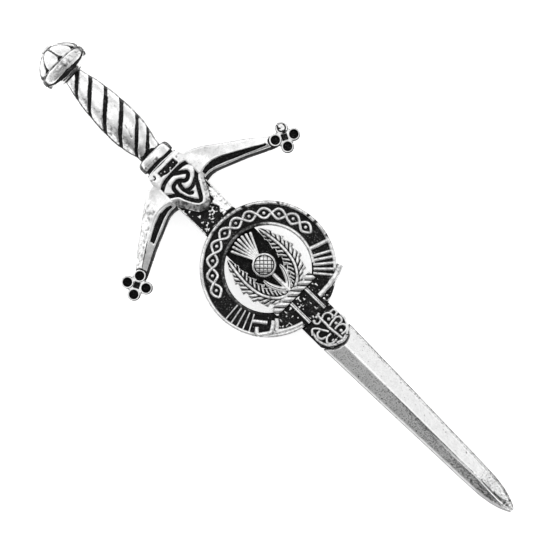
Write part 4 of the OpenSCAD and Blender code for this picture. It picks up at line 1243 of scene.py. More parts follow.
print("half-turned forms ready")

# %% [markdown]
# The collar is a heavy rounded bar over a black groove and a thin ring. Across its top a short table darkens
# each place as painted shade, leaving a bright streak a little right of its middle as a painted highlight.

# %% Collar
COLLAR_ROWS = [
    [0.1, 0.0, 0.5], [0.96, 0.0, 0.9], [1.0, 0.02, 1.0], [1.0, 0.075, 1.0], [0.97, 0.095, 0.6],
    [0.88, 0.105, 0.0], [0.87, 0.25, 0.0], [0.96, 0.275, 0.6], [0.99, 0.32, 1.0], [1.0, 0.45, 1.0],
    [1.0, 0.72, 1.0], [0.96, 0.87, 1.0], [0.88, 0.95, 0.9], [0.72, 1.0, 0.3], [0.1, 1.0, 0.1]]
COLLAR_SHADE = [(-3.0, 0.52), (-2.4, 0.54), (-1.8, 0.5), (-1.2, 0.45), (-0.6, 0.5), (0.0, 0.54), (0.5, 0.35),
               (1.0, 0.0), (1.8, 0.2), (2.4, 0.44), (3.0, 0.48)]


def uneven_shaded_collar(a, r, y, rise):
    p = np.stack([a * 0.05, y, np.zeros_like(y)], axis=-1)
    x = r * np.sin(np.radians(a))
    up = y - COLLAR_Y
    # painted shade across the bar's top and on its sides, with a painted highlight left as a bright streak right of
    # the middle
    toned_down = np.interp(x, *np.transpose(COLLAR_SHADE))
    toned_down = toned_down * (1 - step(up + 0.12 * uneven(p, 0.5, 51), 1.30, 1.60)) * step(up, 0.55, 0.70)
    toned_down = np.maximum(toned_down, 0.44 * step(np.abs(x), 2.1, 2.5) * (up > 0.6))
    wavy = 0.04 * uneven(p, 1.5, 53) * (np.abs(rise - 0.5) < 0.51)
    return r * (1 + 0.006 * uneven(p, 0.7, 52)), y + wavy, rise - toned_down


collar_profile = fine_profile([[r * COLLAR_W / 2, COLLAR_Y + 0.01 + share * (COLLAR_LEN - SEAM - 0.02), rise]
                               for r, share, rise in COLLAR_ROWS], 120)
cast("collar_face", half_turned(collar_profile, 72, uneven_shaded_collar), hilt_pewter, "pewter", "collar")

# %% [markdown]
# The grip has five grooves that climb it like a screw thread. That is a rule, so a tree makes it. A D-shaped
# section is swept up the grip, and every point is pushed in or out by drawn curves: one for the grip's
# outline, one that spaces the grooves unevenly as in the photo, and one for the groove's section. The
# grooves run out towards the sides, which keeps the outline whole.

# %% Tree 3: the twisted grip
def drawn_curve(tree, value, points):
    """A Float Curve node through the given points."""
    curve = node(tree, "ShaderNodeFloatCurve", {"Value": value})
    line = curve.mapping.curves[0]
    line.points[0].location, line.points[1].location = points[0], points[-1]
    for spot in points[1:-1]:
        line.points.new(*spot)
    curve.mapping.update()
    return curve.outputs[0]


grip_tree, given, out = new_tree("twisted_grip", [
    ("Length", FLOAT, 17.0), ("Radius", FLOAT, 2.95), ("Slant", FLOAT, 0.94), ("Depth", FLOAT, 0.4),
    ("Rows", COUNT, 240), ("Sides", COUNT, 90)])


def calc(operation, a, b=None):
    return math_node(grip_tree, operation, a, b)


# the smooth rod: a D-shaped section swept up a line
rod_end = node(grip_tree, "ShaderNodeCombineXYZ", {"Y": given.outputs["Length"]})
rod = node(grip_tree, "GeometryNodeCurvePrimitiveLine", {"End": rod_end.outputs[0]})
rows = node(grip_tree, "GeometryNodeResampleCurve", {"Curve": rod.outputs[0], "Count": given.outputs["Rows"]},
            mode="COUNT")
d_shape = node(grip_tree, "GeometryNodeCurveArc", {
    "Radius": 1, "Start Angle": 0, "Sweep Angle": math.pi, "Connect Center": True,
    "Resolution": given.outputs["Sides"]}, mode="RADIUS")
upright = node(grip_tree, "GeometryNodeSetCurveNormal", {0: rows.outputs[0]}, mode="Z_UP")
rod_skin = node(grip_tree, "GeometryNodeCurveToMesh", {
    "Curve": upright.outputs[0], "Profile Curve": d_shape.outputs["Curve"], "Fill Caps": True})

# the radius from the outline, and the height at which each place's groove passes the middle
place = node(grip_tree, "GeometryNodeInputPosition").outputs[0]
where = node(grip_tree, "ShaderNodeSeparateXYZ", {0: place})
sideways = calc("ABSOLUTE", where.outputs["X"])
outline = drawn_curve(grip_tree, calc("DIVIDE", where.outputs["Y"], given.outputs["Length"]), [
    (0.0, 0.68), (0.05, 0.7), (0.12, 0.8), (0.2, 0.91), (0.3, 0.985), (0.4, 1.0), (0.52, 0.975), (0.65, 0.91),
    (0.77, 0.82), (0.88, 0.69), (0.95, 0.58), (1.0, 0.52)])
broad = calc("MULTIPLY", outline, given.outputs["Radius"])
slanted = calc("MULTIPLY", calc("MULTIPLY", where.outputs["X"], broad), given.outputs["Slant"])
slanted = calc("MULTIPLY", slanted, calc("ADD", calc("MULTIPLY", calc("POWER", sideways, 4.0), 0.20), 1.0))
unsteady = calc("MULTIPLY", calc("SUBTRACT", noise_node(grip_tree, place, 1.3, 3, 0.6), 0.5), 0.42)
climb = calc("ADD", calc("SUBTRACT", where.outputs["Y"], slanted), calc("ADD", unsteady, 4.0))

# the groove's number at that height, and the groove's section
number = drawn_curve(grip_tree, calc("DIVIDE", climb, 25.0), [
    (0.0, -0.024), (0.075, 0.0625), (0.185, 0.1875), (0.28, 0.3125), (0.417, 0.4375), (0.554, 0.5625),
    (0.69, 0.6875), (0.806, 0.8125), (0.93, 0.9375), (1.0, 0.995)])
phase = calc("FRACT", calc("SUBTRACT", calc("MULTIPLY", number, 8), 0.5))
sunk = drawn_curve(grip_tree, phase, [
    (0.0, 1.0), (0.08, 0.92), (0.13, 0.4), (0.18, 0.12), (0.3, 0.04), (0.5, 0.0), (0.7, 0.04), (0.82, 0.12),
    (0.87, 0.4), (0.92, 0.92), (1.0, 1.0)])
runs_out = calc("MULTIPLY", calc("POWER", sideways, 7.0), 0.85)
depth = calc("MULTIPLY", given.outputs["Depth"], calc("SUBTRACT", 1.0, runs_out))
radius = calc("SUBTRACT", broad, calc("MULTIPLY", sunk, depth))

# every point goes to its radius, and keeps how far it is sunk
pushed = node(grip_tree, "ShaderNodeCombineXYZ", {
    "X": calc("MULTIPLY", where.outputs["X"], radius), "Y": where.outputs["Y"],
    "Z": calc("MULTIPLY", calc("ABSOLUTE", where.outputs["Z"]), radius)})
marked = keep_rise(grip_tree, rod_skin.outputs[0], range_node(grip_tree, sunk, 0.75, 0.22))
shape = node(grip_tree, "GeometryNodeSetPosition", {"Geometry": marked, "Position": pushed.outputs[0]})
end_tree(grip_tree, given, out, shape.outputs[0])

# %% [markdown]
# The tree's result still looks machined. Small lumps, a scar and a few dents make it a casting that has been
# worn, and the black at its foot is partly patina and partly painted shade. Painted shade also greys its left
# side, and painted light lifts the grooves on its right side out of the black. They belong to this one grip, so
# they are added after the tree.

# %% Grip
DENTS = [(0.8, 1.3, 9.0, 0.12, 0.12), (0.5, -1.95, 3.3, 0.2, 0.4), (0.45, -2.25, 5.8, 0.14, 0.5)]
SCAR = flow([(0.2, 5.55), (-0.08, 4.6), (-0.4, 3.7)], 12)
points, faces, rise = run_tree(
    put("grip_blank", bpy.data.meshes.new("grip_blank")), grip_tree, Length=GRIP_LEN - 2 * SEAM, Radius=GRIP_W / 2,
    Slant=0.84, Depth=0.42, Rows=300, Sides=110, Material=hilt_pewter)
front = points[:, 2] > 0.05
points = points + np.array([0, GRIP_Y + SEAM, BACK])
points[:, 2] += (0.035 * uneven(points, 1.4, 61) + 0.012 * uneven(points, 0.5, 62)) * front
x, y = points[:, 0], points[:, 1] - GRIP_Y
foot_line = 0.60 + 0.2 * uneven(points, 0.5, 63) - 0.25 * step(x, 0.5, 1.3) + 0.22 * np.exp(-((x + 1.2) / 0.8) ** 2)
# the black at the foot: patina in the joint, and painted shade, weaker on the right side
foot_patina_and_shade = (1 - step(y - foot_line, -0.40, 0.05)) * (1 - 0.5 * step(x, 0.6, 1.3))
both_ends = np.clip(foot_patina_and_shade + step(y, GRIP_LEN - 0.22, GRIP_LEN - 0.05), 0, 1)
marks = 0.62 * (1 - step(line_distance(x, y, SCAR)[0], 0.08, 0.20))
for strength, dent_x, dent_y, width, height in DENTS:
    marks += strength * np.exp(-(((x - dent_x) / width) ** 2 + ((y - dent_y) / height) ** 2) ** 2)
points[:, 2] -= 0.10 * marks * front
rise = np.minimum(rise, 1 - 0.95 * both_ends) - 0.75 * marks
# painted shade greys the left side, and painted light lifts the grooves on the right side out of the black
rise = np.minimum(rise, 1 - 0.44 * step(-x, -0.3, 1.2))
rise = np.maximum(rise, 0.37 * step(x + 0.3 * uneven(points, 0.6, 64), 0.5, 1.7))
# patina on the steep sides, and painted shade along the outline
around = np.abs(np.degrees(np.arctan2(points[:, 0], points[:, 2] - BACK)))
steep = step(around - 9 * (x < 0), 54, 68)
rise = np.maximum(rise - 0.52 * steep, np.minimum(rise, 0.46 * steep))
rise[~front] = np.minimum(rise[~front], 0.3)
cast("grip_face", outward(points, faces, rise), hilt_pewter, "pewter", "grip")

# %% [markdown]
# The pommel is a flattened dome in eight gores above a heavy band, with a small button on top. Under the
# band a deep groove sags towards the middle, because the real form tips forward a little. The dome is a
# superellipse, squarer than a ball, and is added to the drawn rows by formula.

# %% Pommel: its profile
POMMEL_ROWS = [
    [0.05, 0.004, 0.3], [0.36, 0.004, 0.6], [0.5, 0.02, 1.2], [0.62, 0.045, 1.2], [0.76, 0.09, 1.3],
    [0.88, 0.135, 1.3], [0.95, 0.19, 0.8], [0.985, 0.25, 0.56], [1.0, 0.32, 0.56], [1.0, 0.38, 0.56],
    [0.99, 0.425, 0.6], [0.955, 0.455, 0.7], [0.925, 0.472, 0.38], [0.915, 0.492, 0.38]]
BUTTON_ROWS = [[0.235, 0.975, 0.2], [0.225, 0.985, 0.4], [0.22, 1.02, 1.0], [0.17, 1.055, 1.0], [0.08, 1.066, 1.0],
               [0.02, 1.067, 1.0]]
DOME_FROM, DOME_POWER = 0.495, 1.6
GORE_TURN = 8  # the gores are turned by this many degrees, as in the photo
dome_rows = []
for turn in np.radians(np.arange(1, 15) * 6):
    share = DOME_FROM + 0.005 + (1 - DOME_FROM) * math.sin(turn) ** DOME_POWER
    if share < 0.985:
        dome_rows.append([0.965 * math.cos(turn), share, 1.0])
pommel_profile = fine_profile([[r * POMMEL_W / 2, POMMEL_Y + SEAM + share * POMMEL_H * 0.9985, rise]
                               for r, share, rise in POMMEL_ROWS + dome_rows + BUTTON_ROWS], 150)
print("pommel profile from y", pommel_profile[0, 1].round(2), "to", pommel_profile[-1, 1].round(2), "mm")

# %% [markdown]
# The same reshaping as for the collar cuts the gores and the groove. An angle folded into one eighth of the
# circle gives the distance to the nearest cut, so that eight cuts need only one formula.

# %% Pommel: gores and groove
ARC_X = [0, 1.2, 2.0, 2.8, 3.4, 3.95]
ARC_UP = [0.76, 0.74, 0.82, 0.93, 1.20, 1.58]    # the groove's middle line above the pommel's foot
ARC_HALF = [0.30, 0.27, 0.18, 0.11, 0.08, 0.05]  # half its width


def gore_cuts(a, r, share, p):
    """The cuts between the gores and the soft swell of each gore, whose fall towards the cuts also carries painted
    shade.
    """
    dome = step(share, 0.495, 0.525) * (1 - step(share, 0.955, 0.975))
    climb = np.clip((share - 0.52) / 0.44, 0, 1)
    off = np.abs((a - GORE_TURN + 22.5) % 45 - 22.5) * math.pi / 180 * r + 0.04 * uneven(p, 0.8, 73)
    line = off - 0.12 - 0.10 * (1 - climb) - 0.20 * np.exp(-climb / 0.12)
    pillow = np.exp(-(np.clip(line, 0, None) / 0.34) ** 2) * dome
    foot = np.exp(-((share - 0.52) / 0.045) ** 2) * dome
    return dome, (1 - step(line, -0.10, 0.12)) * dome, pillow, foot


def sagging_groove(x, y, r, share, p):
    """The black groove under the band, and the shade below it."""
    below = y - POMMEL_Y - np.interp(np.abs(x), ARC_X, ARC_UP)
    reach = np.interp(np.abs(x), ARC_X, ARC_HALF)
    black = 1 - step(np.abs(below) + 0.07 * uneven(p, 0.35, 75) * (np.abs(x) < 2), reach - 0.04, reach + 0.09)
    shade = np.exp(-((below + reach + 0.12) / 0.16) ** 2) * (np.abs(x) < 1.7) * (r > 1.0) * (share < 0.2)
    return black * (share < 0.45) * (r > 1.0), shade * (0.4 + 0.6 * step(x, -0.4, 0.4))


def gores(a, r, y, rise):
    share = (y - POMMEL_Y) / POMMEL_H
    x = r * np.sin(np.radians(a))
    p = np.stack([x, y, r * np.cos(np.radians(a))], axis=-1)
    dome, cut, pillow, foot = gore_cuts(a, r, share, p)
    black, shade = sagging_groove(x, y, r, share, p)
    # the band is a little streaky, and dimmer in its middle
    streak = uneven(np.stack([x * 0.5, y * 4.5, 0 * x], axis=-1), 1.0, 76)
    band = step(share, 0.15, 0.22) * (1 - step(share, 0.44, 0.47))
    low = 1 - step(share, 0.20, 0.42)
    dim = 0.025 * streak + 0.05 * np.exp(-(x / 1.7) ** 2) + 0.06 * np.exp(-(x / 0.9) ** 2) * low
    lumps = 0.02 * uneven(p, 1.2, 71) * (r > 0.5)
    r = r - 0.20 * cut - 0.08 * foot - 0.14 * black + 0.05 * (1 - pillow) * dome + lumps
    # pillow darkens the gores beside their cuts as painted shade, and shade is painted shade below the groove
    rise = rise - 0.60 * cut - 0.34 * foot - 0.16 * pillow * (1 - cut) - band * dim - 0.70 * shade
    return r, y, rise * (1 - 0.97 * black)


cast("pommel_face", half_turned(pommel_profile, 121, gores), hilt_pewter, "pewter", "pommel")

# %% [markdown]
# ## Badge
# The ring is drawn as a leather strap: two rims with a sunk ground between them, black from the bath. One
# section, lofted round in a circle, makes it. Its rims fade where the casting is worn or the strap's end
# hangs over them, and it is cleared flat where the buckle stands.

# %% The strap's ring: its form
RING_BACK = BACK + FLAT_T + SEAM
BAND_R = (BADGE_R + HOLE_R) / 2
OUTER_RIM, INNER_RIM = BADGE_R - RIM_W / 2, HOLE_R + RIM_W / 2
BUCKLE_FRAME = [(-0.715, -0.48), (-0.785, -0.555), (-0.715, -0.62), (-0.63, -0.675), (-0.57, -0.65),
                (-0.480, -0.585)]
BUCKLE_TONGUE = [(-0.7, -0.375), (-0.63, -0.46), (-0.565, -0.545)]
BUCKLE_BED = [(-0.715, -0.4), (-0.76, -0.54), (-0.63, -0.65), (-0.5, -0.59), (-0.58, -0.48)]
buckle_lines = [flow(np.array(line) * BADGE_R, 40) + [0, BADGE_Y] for line in (BUCKLE_FRAME, BUCKLE_TONGUE)]
buckle_bed = np.array(BUCKLE_BED) * BADGE_R + [0, BADGE_Y]


def between(angle, ends, soft=1.5):
    """1 between two angles in degrees, 0 outside, smooth over a short way."""
    middle, reach = (ends[0] + ends[1]) / 2, (ends[1] - ends[0]) / 2
    off = np.abs((angle - middle + 180) % 360 - 180)
    return 1 - step(off, reach - soft, reach + soft)


def ring_grid():
    """Angles and radii of the ring's top, closer together over its two rims."""
    over_rim = RIM_W / 2 * np.array([-1.0, -0.93, -0.8, -0.55, -0.25, 0, 0.25, 0.55, 0.8, 0.93, 1.0])
    ground = np.linspace(HOLE_R + RIM_W + 0.06, BADGE_R - RIM_W - 0.06, 26)
    radii = np.concatenate([INNER_RIM + over_rim, ground, OUTER_RIM + over_rim])
    r, a = np.meshgrid(radii, np.linspace(-180, 180, 900, endpoint=False))
    return r, a, r * np.cos(np.radians(a)), r * np.sin(np.radians(a))


def rim_swell(r, middle):
    return np.clip(1 - ((r - middle) / (RIM_W / 2 + 0.04)) ** 2, 0, 1) ** 0.38


def ring_lip(r, a, p):
    """Height of the two rims above the ground, 0 where they are worn away or covered."""
    whole = np.clip(between(a, (-46, 257)) + 0.5 * between(a, (-74, -46)), 0, 1)
    whole = whole * (1 - 0.18 * between(a, (-62, -8), 6) * step(uneven(p, 0.6, 83), 0.0, 0.5))
    return RIM_H * (rim_swell(r, OUTER_RIM) * whole + rim_swell(r, INNER_RIM) * between(a, (-38, 218)))


def cleared_for_buckle(x, y):
    """1 where the ring is flat under the buckle."""
    px, py = x.ravel(), y.ravel() + BADGE_Y
    flat = np.minimum.reduce([line_distance(px, py, line)[0] for line in buckle_lines])
    flat = np.minimum(flat, edge_distance(px, py, buckle_bed) + 0.2).reshape(x.shape)
    return 1 - step(flat, 0.30, 0.42)


print("ring from radius", round(HOLE_R, 2), "to", BADGE_R, "mm")

# %% [markdown]
# The photo shows the inner rim dull, the outer one dull from the right to the top and worn at the lower
# right, and rubbed specks low on the ground. Angles are counted from the right, as on a drawing.

# %% The strap's ring: its finish
DULL_INNER = [(0, 1), (30, 1), (45, 0.58), (60, 0.42), (75, 0.47), (90, 0.47), (105, 0.51), (120, 0.42), (135, 0.44),
              (150, 0.45), (165, 0.5), (180, 0.46), (195, 0.44), (210, 0.38), (225, 0.42), (235, 0.42), (322, 1),
              (360, 1)]
WORN = (-76, -47)


def ring_rise(r, a, p, lip):
    """The rise of the ring, and its raised specks."""
    edge = (r > BADGE_R - 0.02) | (r < HOLE_R + 0.02)
    rise = step(lip, 0.04, 0.22)
    rise = np.where(edge, np.minimum(rise, 0.35), rise)
    dull_inner = np.interp(a % 360, *np.transpose(DULL_INNER))
    rise = np.where(np.abs(r - INNER_RIM) < 0.35, np.minimum(rise, dull_inner), rise)
    worn = between(a, WORN, 2)
    rise = rise * (1 - 0.85 * worn * (r > BADGE_R - 1.0))
    near_edge = step(r, BADGE_R - 0.9, BADGE_R - 0.4)
    specks = step(uneven(p, 0.36, 85) + 0.35 * near_edge * worn, 0.53, 0.76)
    specks = specks * (between(a, (-100, -50), 3) + between(a, (222, 262), 4)) * ((lip < 0.1) | (worn > 0.5)) * ~edge
    rise = np.maximum(rise, 0.9 * specks)
    toned_down = between(a, (-32, 108), 14) * (0.36 + 0.25 * step(uneven(p, 0.7, 86), 0.1, 0.7)) * (r > BADGE_R - 1)
    return rise * (1 - toned_down), specks


def ring_wall(a, radius, height):
    row = [radius * np.cos(np.radians(a)), radius * np.sin(np.radians(a)) + BADGE_Y, np.full(len(a), height)]
    return np.stack(row, axis=-1)[:, None]


def strap_ring():
    r, a, x, y = ring_grid()
    p = flat_points(x, y)
    lip = ring_lip(r, a, p)
    rise, specks = ring_rise(r, a, p, lip)
    grain = 0.045 * uneven(p, 0.42, 81) + 0.02 * uneven(p, 0.2, 82)
    z = GROUND + lip + grain * (lip < 0.1) + 0.02 * uneven(p, 1.2, 84) * (lip > 0.1) + 0.12 * specks
    cleared = cleared_for_buckle(x, y)
    z = z * (1 - cleared) + (GROUND - 0.02) * cleared
    rise = rise * (1 - cleared)
    top, round_it = np.stack([x, y + BADGE_Y, z], axis=-1), a[:, 0]
    rows = [(BADGE_R, GROUND - 0.1), (BADGE_R - 0.03, RING_BACK), (HOLE_R + 0.03, RING_BACK), (HOLE_R, GROUND - 0.1)]
    walls = [ring_wall(round_it, radius, height) for radius, height in rows]
    rise = np.concatenate([rise, np.full((len(a), len(walls)), 0.3)], axis=1)
    return loft(np.concatenate([top] + walls, axis=1), rise, closed=True)


ring = strap_ring()
print("ring with", len(ring[0]), "points")

# %% [markdown]
# Cross ribs, a two-strand plait with pellets, and the folds at the buckle are laid on the ground. The ribs
# and pellets come from the arc tree, and the rest from the stroke tree. The plait's strands pass over and
# under each other, because their lines rise and fall.

# %% Ribs, plait, pellets and folds
PLAIT_FROM, PLAIT_SWEEP, CROSSINGS = -5, 170, 11


def cross_rib(half_length, width, height):
    return strokes([[(-half_length, 0), (half_length, 0)]], width, height, sides=12, spacing=0.3)


def plait_line(side):
    u = np.linspace(0, 1, 420)
    angle = np.radians(PLAIT_FROM + PLAIT_SWEEP * u)
    r = BAND_R + side * 0.21 * STRAP_W * np.sin(math.pi * CROSSINGS * u)
    over = side * 0.09 * np.cos(math.pi * CROSSINGS * u)
    return np.column_stack([r * np.cos(angle), r * np.sin(angle), over])


left_ribs = copies_on_arc(cross_rib(1.62, 0.35, 0.40), 5, BAND_R, 184.5, 5.8)
right_ribs = copies_on_arc(cross_rib(1.66, 0.58, 0.44), 5, BAND_R, -50.5, 5.4)
broad_rib = copies_on_arc(cross_rib(1.66, 0.78, 0.46), 1, BAND_R, -19.5, 5.0)
plait = strokes([plait_line(1), plait_line(-1)], 0.55, 0.38, sides=12, spacing=0.08, wander=0.05)
pellet = turned([[0.05, -0.1, 0], [0.28, -0.1, 0], [0.28, 0.14, 0.5], [0.24, 0.26, 1], [0.13, 0.31, 1],
                 [0.03, 0.33, 1]], 16)
pellets = copies_on_arc(pellet, CROSSINGS, BAND_R, PLAIT_FROM + PLAIT_SWEEP * 0.5 / CROSSINGS,
                        PLAIT_SWEEP / CROSSINGS, unevenness=0.12, seed=3)
FOLDS = [  # line in shares of the badge's radius, points on it, width, height, wander
    ([(-0.56, -0.7), (-0.52, -0.755), (-0.38, -0.845), (-0.2, -0.915)], 60, 0.72, 0.44, 0.04),
    ([(0.245, -0.8), (0.44, -0.795), (0.63, -0.765), (0.785, -0.7)], 60, 0.98, 0.52, 0.05),
    ([(-0.425, -0.6), (-0.5, -0.68), (-0.575, -0.75)], 40, 0.8, 0.48, 0.04),
    ([(-0.6, -0.7), (-0.565, -0.745), (-0.48, -0.79)], 30, 0.64, 0.46, 0.03)]
folds = together(*[strokes([flow(np.array(line) * BADGE_R, count)], width, height, wander=wander)
                   for line, count, width, height, wander in FOLDS])
ornament = together(left_ribs, right_ribs, broad_rib, plait, pellets, folds)
ornament = moved(ornament, y=BADGE_Y, z=GROUND - 0.02)
cast("strap_ring", together(ring, ornament), badge_pewter, "pewter_black", "badge_strap")

# %% [markdown]
# The buckle is two strokes: the frame, and the tongue that lies across it. Both stand on a small bed, so
# that the buckle is one solid of its own.

# %% Buckle
def bed_height(x, y, d):
    return GROUND + SEAM + 0.10 + 0.02 * uneven(flat_points(x, y), 0.3, 91), 0.05 + 0 * x


bed = plate(lambda x, y: edge_distance(x, y, buckle_bed), (-8.2, BADGE_Y - 7.1, -5.2, BADGE_Y - 4.1), 0.09,
            bed_height, GROUND + SEAM, 0.05)
frame_bars = strokes(buckle_lines, 0.78, 0.46, sides=16, spacing=0.06, wander=0.02)
frame_bars = moved(frame_bars, z=GROUND + SEAM + 0.02)
cast("buckle_face", together(bed, frame_bars), badge_pewter, "pewter", "buckle")

# %% [markdown]
# The strap's end hangs down the middle between two rails. Each rail is a double ridge, and the leather
# between them is a rough black ground. It is a plate over a rectangle, with the rails in its height.

# %% The strap's end
TAIL_X, RAIL_GAP, RAIL_W = 0.3, 3.25, 0.55
TAIL_TOP, TAIL_BOTTOM = BADGE_Y - HOLE_R * 0.925, BADGE_Y - BADGE_R * 0.985
TAIL_HALF = (RAIL_GAP + RAIL_W) / 2


def tail_outline(x, y):
    return np.maximum(np.abs(x - TAIL_X) - TAIL_HALF, np.maximum(y - TAIL_TOP, TAIL_BOTTOM - y))


def tail_height(x, y, d):
    p = flat_points(x, y)
    along = x - TAIL_X - np.sign(x - TAIL_X) * RAIL_GAP / 2
    double = np.maximum(np.exp(-(np.abs(along + 0.11) / 0.20) ** 3),
                        0.8 * np.exp(-(np.abs(along - 0.22) / 0.08) ** 3))
    speck = step(uneven(p, 0.3, 93), 0.38, 0.70) * (np.abs(along) > 0.4)
    z = GROUND + SEAM + 0.12 + 0.36 * double + 0.03 * uneven(p, 0.25, 92) + 0.10 * speck
    return z, step(double, 0.12, 0.5) + 0.75 * speck


tail_box = (TAIL_X - TAIL_HALF - 0.05, TAIL_BOTTOM - 0.02, TAIL_X + TAIL_HALF + 0.05, TAIL_TOP + 0.02)
tail = plate(tail_outline, tail_box, 0.055, tail_height, GROUND + SEAM)
cast("strap_end", tail, badge_pewter, "pewter_black", "strap_tail")

# %% [markdown]
# The chape is the metal tip of the strap. Its ornament is a stem with scrolls that end in small balls. The
# floor is a plate with a round foot, hollowed at its top by the ring, and all lines are drawn in shares of
# half the chape's width.

# %% Chape: its floor
HALF_CHAPE = CHAPE_W / 2
lean = math.degrees(math.acos(HALF_CHAPE / CHAPE_R))
chape_outline = [(CHAPE_R * math.cos(t), CHAPE_Y + CHAPE_R * math.sin(t))
                 for t in np.radians(np.linspace(-180 + lean, -lean, 40))]
chape_outline += [(HALF_CHAPE, CHAPE_TOP), (-HALF_CHAPE, CHAPE_TOP)]


def chape_edge(x, y):
    return np.maximum(edge_distance(x, y, chape_outline), BADGE_R + SEAM - np.hypot(x, y - BADGE_Y))


def chape_height(x, y, d):
    p = flat_points(x, y)
    edge = step(d, -0.16, -0.04) * (y < CHAPE_TOP - 0.1)
    side_rub = edge * (y > CHAPE_Y - 1.4) * (x > 0)
    speck = step(uneven(p, 0.3, 95), 0.6, 0.85)
    z = GROUND + 0.04 * uneven(p, 0.3, 94) + 0.08 * speck - 0.25 * edge
    return z, 0.7 * speck * (1 - edge) + 0.45 * side_rub


chape_floor = plate(chape_edge, (-3.0, CHAPE_Y - CHAPE_R - 0.1, 3.0, CHAPE_TOP + 0.1), 0.06, chape_height, RING_BACK)
print("chape floor with", len(chape_floor[0]), "points")

# %% [markdown]
# Scrolls, stem, foot and lip differ only in their lines and sizes, so they are listed and drawn by one line
# of code. The balls are one small lathe form, set where four scrolls end.

# %% Chape: scrolls, stem and balls
SCROLLS = [
    [(-0.05, 0.6), (-0.17, 0.555), (-0.3, 0.57), (-0.385, 0.68), (-0.345, 0.8)],
    [(-0.92, 0.3), (-0.72, 0.565), (-0.53, 0.43), (-0.35, 0.14), (-0.19, -0.15)],
    [(-0.5, 0.23), (-0.69, 0.2), (-0.79, 0.03), (-0.72, -0.15), (-0.47, -0.23)],
    [(-0.16, -0.3), (-0.47, -0.3), (-0.66, -0.51), (-0.5, -0.72), (-0.16, -0.73)],
    [(0.07, 0.61), (0.31, 0.68), (0.51, 0.58), (0.59, 0.33), (0.48, 0.2)],
    [(0.6, 0.55), (0.83, 0.52), (0.87, 0.28), (0.61, 0.21)],
    [(0.07, 0.04), (0.33, 0.1), (0.62, 0.12), (0.8, -0.04), (0.7, -0.24), (0.45, -0.26)],
    [(0.14, -0.3), (0.42, -0.29), (0.66, -0.42), (0.69, -0.63), (0.51, -0.76), (0.2, -0.74)]]
STEM = [(0.1, -1.06), (0.07, -0.7), (0.02, -0.3), (0.0, 0.2), (0.02, 0.9)]
STEM_HEAD = [(-0.14, 0.87), (0.16, 0.92)]
STEM_FOOT = [(-0.3, -0.9), (0.05, -1.0), (0.36, -0.93)]
LIPS = [[(-0.78, 0.5), (-0.9, 0.1), (-0.86, -0.35), (-0.66, -0.7), (-0.34, -0.93)],
        [(0.93, 0.05), (0.9, -0.3), (0.72, -0.68), (0.4, -0.92)]]
BALLS = [(-0.345, 0.8), (0.3, 0.33), (0.42, -0.1), (0.33, -0.57)]


def on_chape(lines, count=60):
    return [flow(np.array(line) * HALF_CHAPE, count) for line in lines]


stem_lines = on_chape([STEM]) + [np.array(STEM_HEAD) * HALF_CHAPE]
ball = turned([[0.03, -0.1, 0], [0.3, -0.1, 0], [0.3, 0.14, 0.4], [0.25, 0.28, 0.9], [0.14, 0.37, 1],
               [0.03, 0.39, 1]], 20)
scrollwork = together(
    strokes(on_chape(SCROLLS), 0.45, 0.40, spacing=0.06, wander=0.05),
    strokes(stem_lines, 0.54, 0.40, spacing=0.08, wander=0.04),
    strokes(on_chape([STEM_FOOT], 40), 0.62, 0.36, spacing=0.08, wander=0.03),
    strokes(on_chape(LIPS), 0.40, 0.24, z=-0.02, spacing=0.08, wander=0.05),
    *[moved(ball, x * HALF_CHAPE, y * HALF_CHAPE) for x, y in BALLS])
scrollwork = moved(scrollwork, TAIL_X * 0.8, CHAPE_Y, GROUND)
cast("chape_face", together(chape_floor, scrollwork), badge_pewter, "pewter_black", "chape")

# %% [markdown]
# ## Crest
# A thistle between two saw-edged leaves stands in the ring on a twisted wreath. It is modelled as a die
# sinker sees it, as one relief: each form gives its distance, its height and its rise, the highest form wins,
# and the cuts between them are black. Veins slant from the midrib to the teeth.

# %% Leaves, leaflets and stalk
LEAF_LINE = flow(np.array([(-0.12, -0.74), (-0.34, -0.6), (-0.52, -0.32), (-0.585, 0.04), (-0.57, 0.4),
                           (-0.50, 0.82)]) * HOLE_R, 70)
LEAFLET_LINE = flow(np.array([(0.0, -0.66), (-0.14, -0.5), (-0.24, -0.28), (-0.26, -0.1)]) * HOLE_R, 30)
CREST_TOP = GROUND + 0.6
TEETH = 7


def leaf_edge(line):
    """The saw edge round a leaf's midrib."""
    u = np.linspace(0, 1, len(line))
    half = 0.25 * HOLE_R * np.sin(np.pi * np.minimum(1, 0.06 + 0.94 * u)) ** 0.6
    half = half * (1 - 0.36 * (u * TEETH - np.floor(u * TEETH)))
    way = np.gradient(line, axis=0)
    across = np.column_stack([-way[:, 1], way[:, 0]]) / np.linalg.norm(way, axis=1)[:, None]
    return np.vstack([line + across * half[:, None], (line - across * half[:, None])[::-1]])


LEAF_EDGE = leaf_edge(LEAF_LINE)


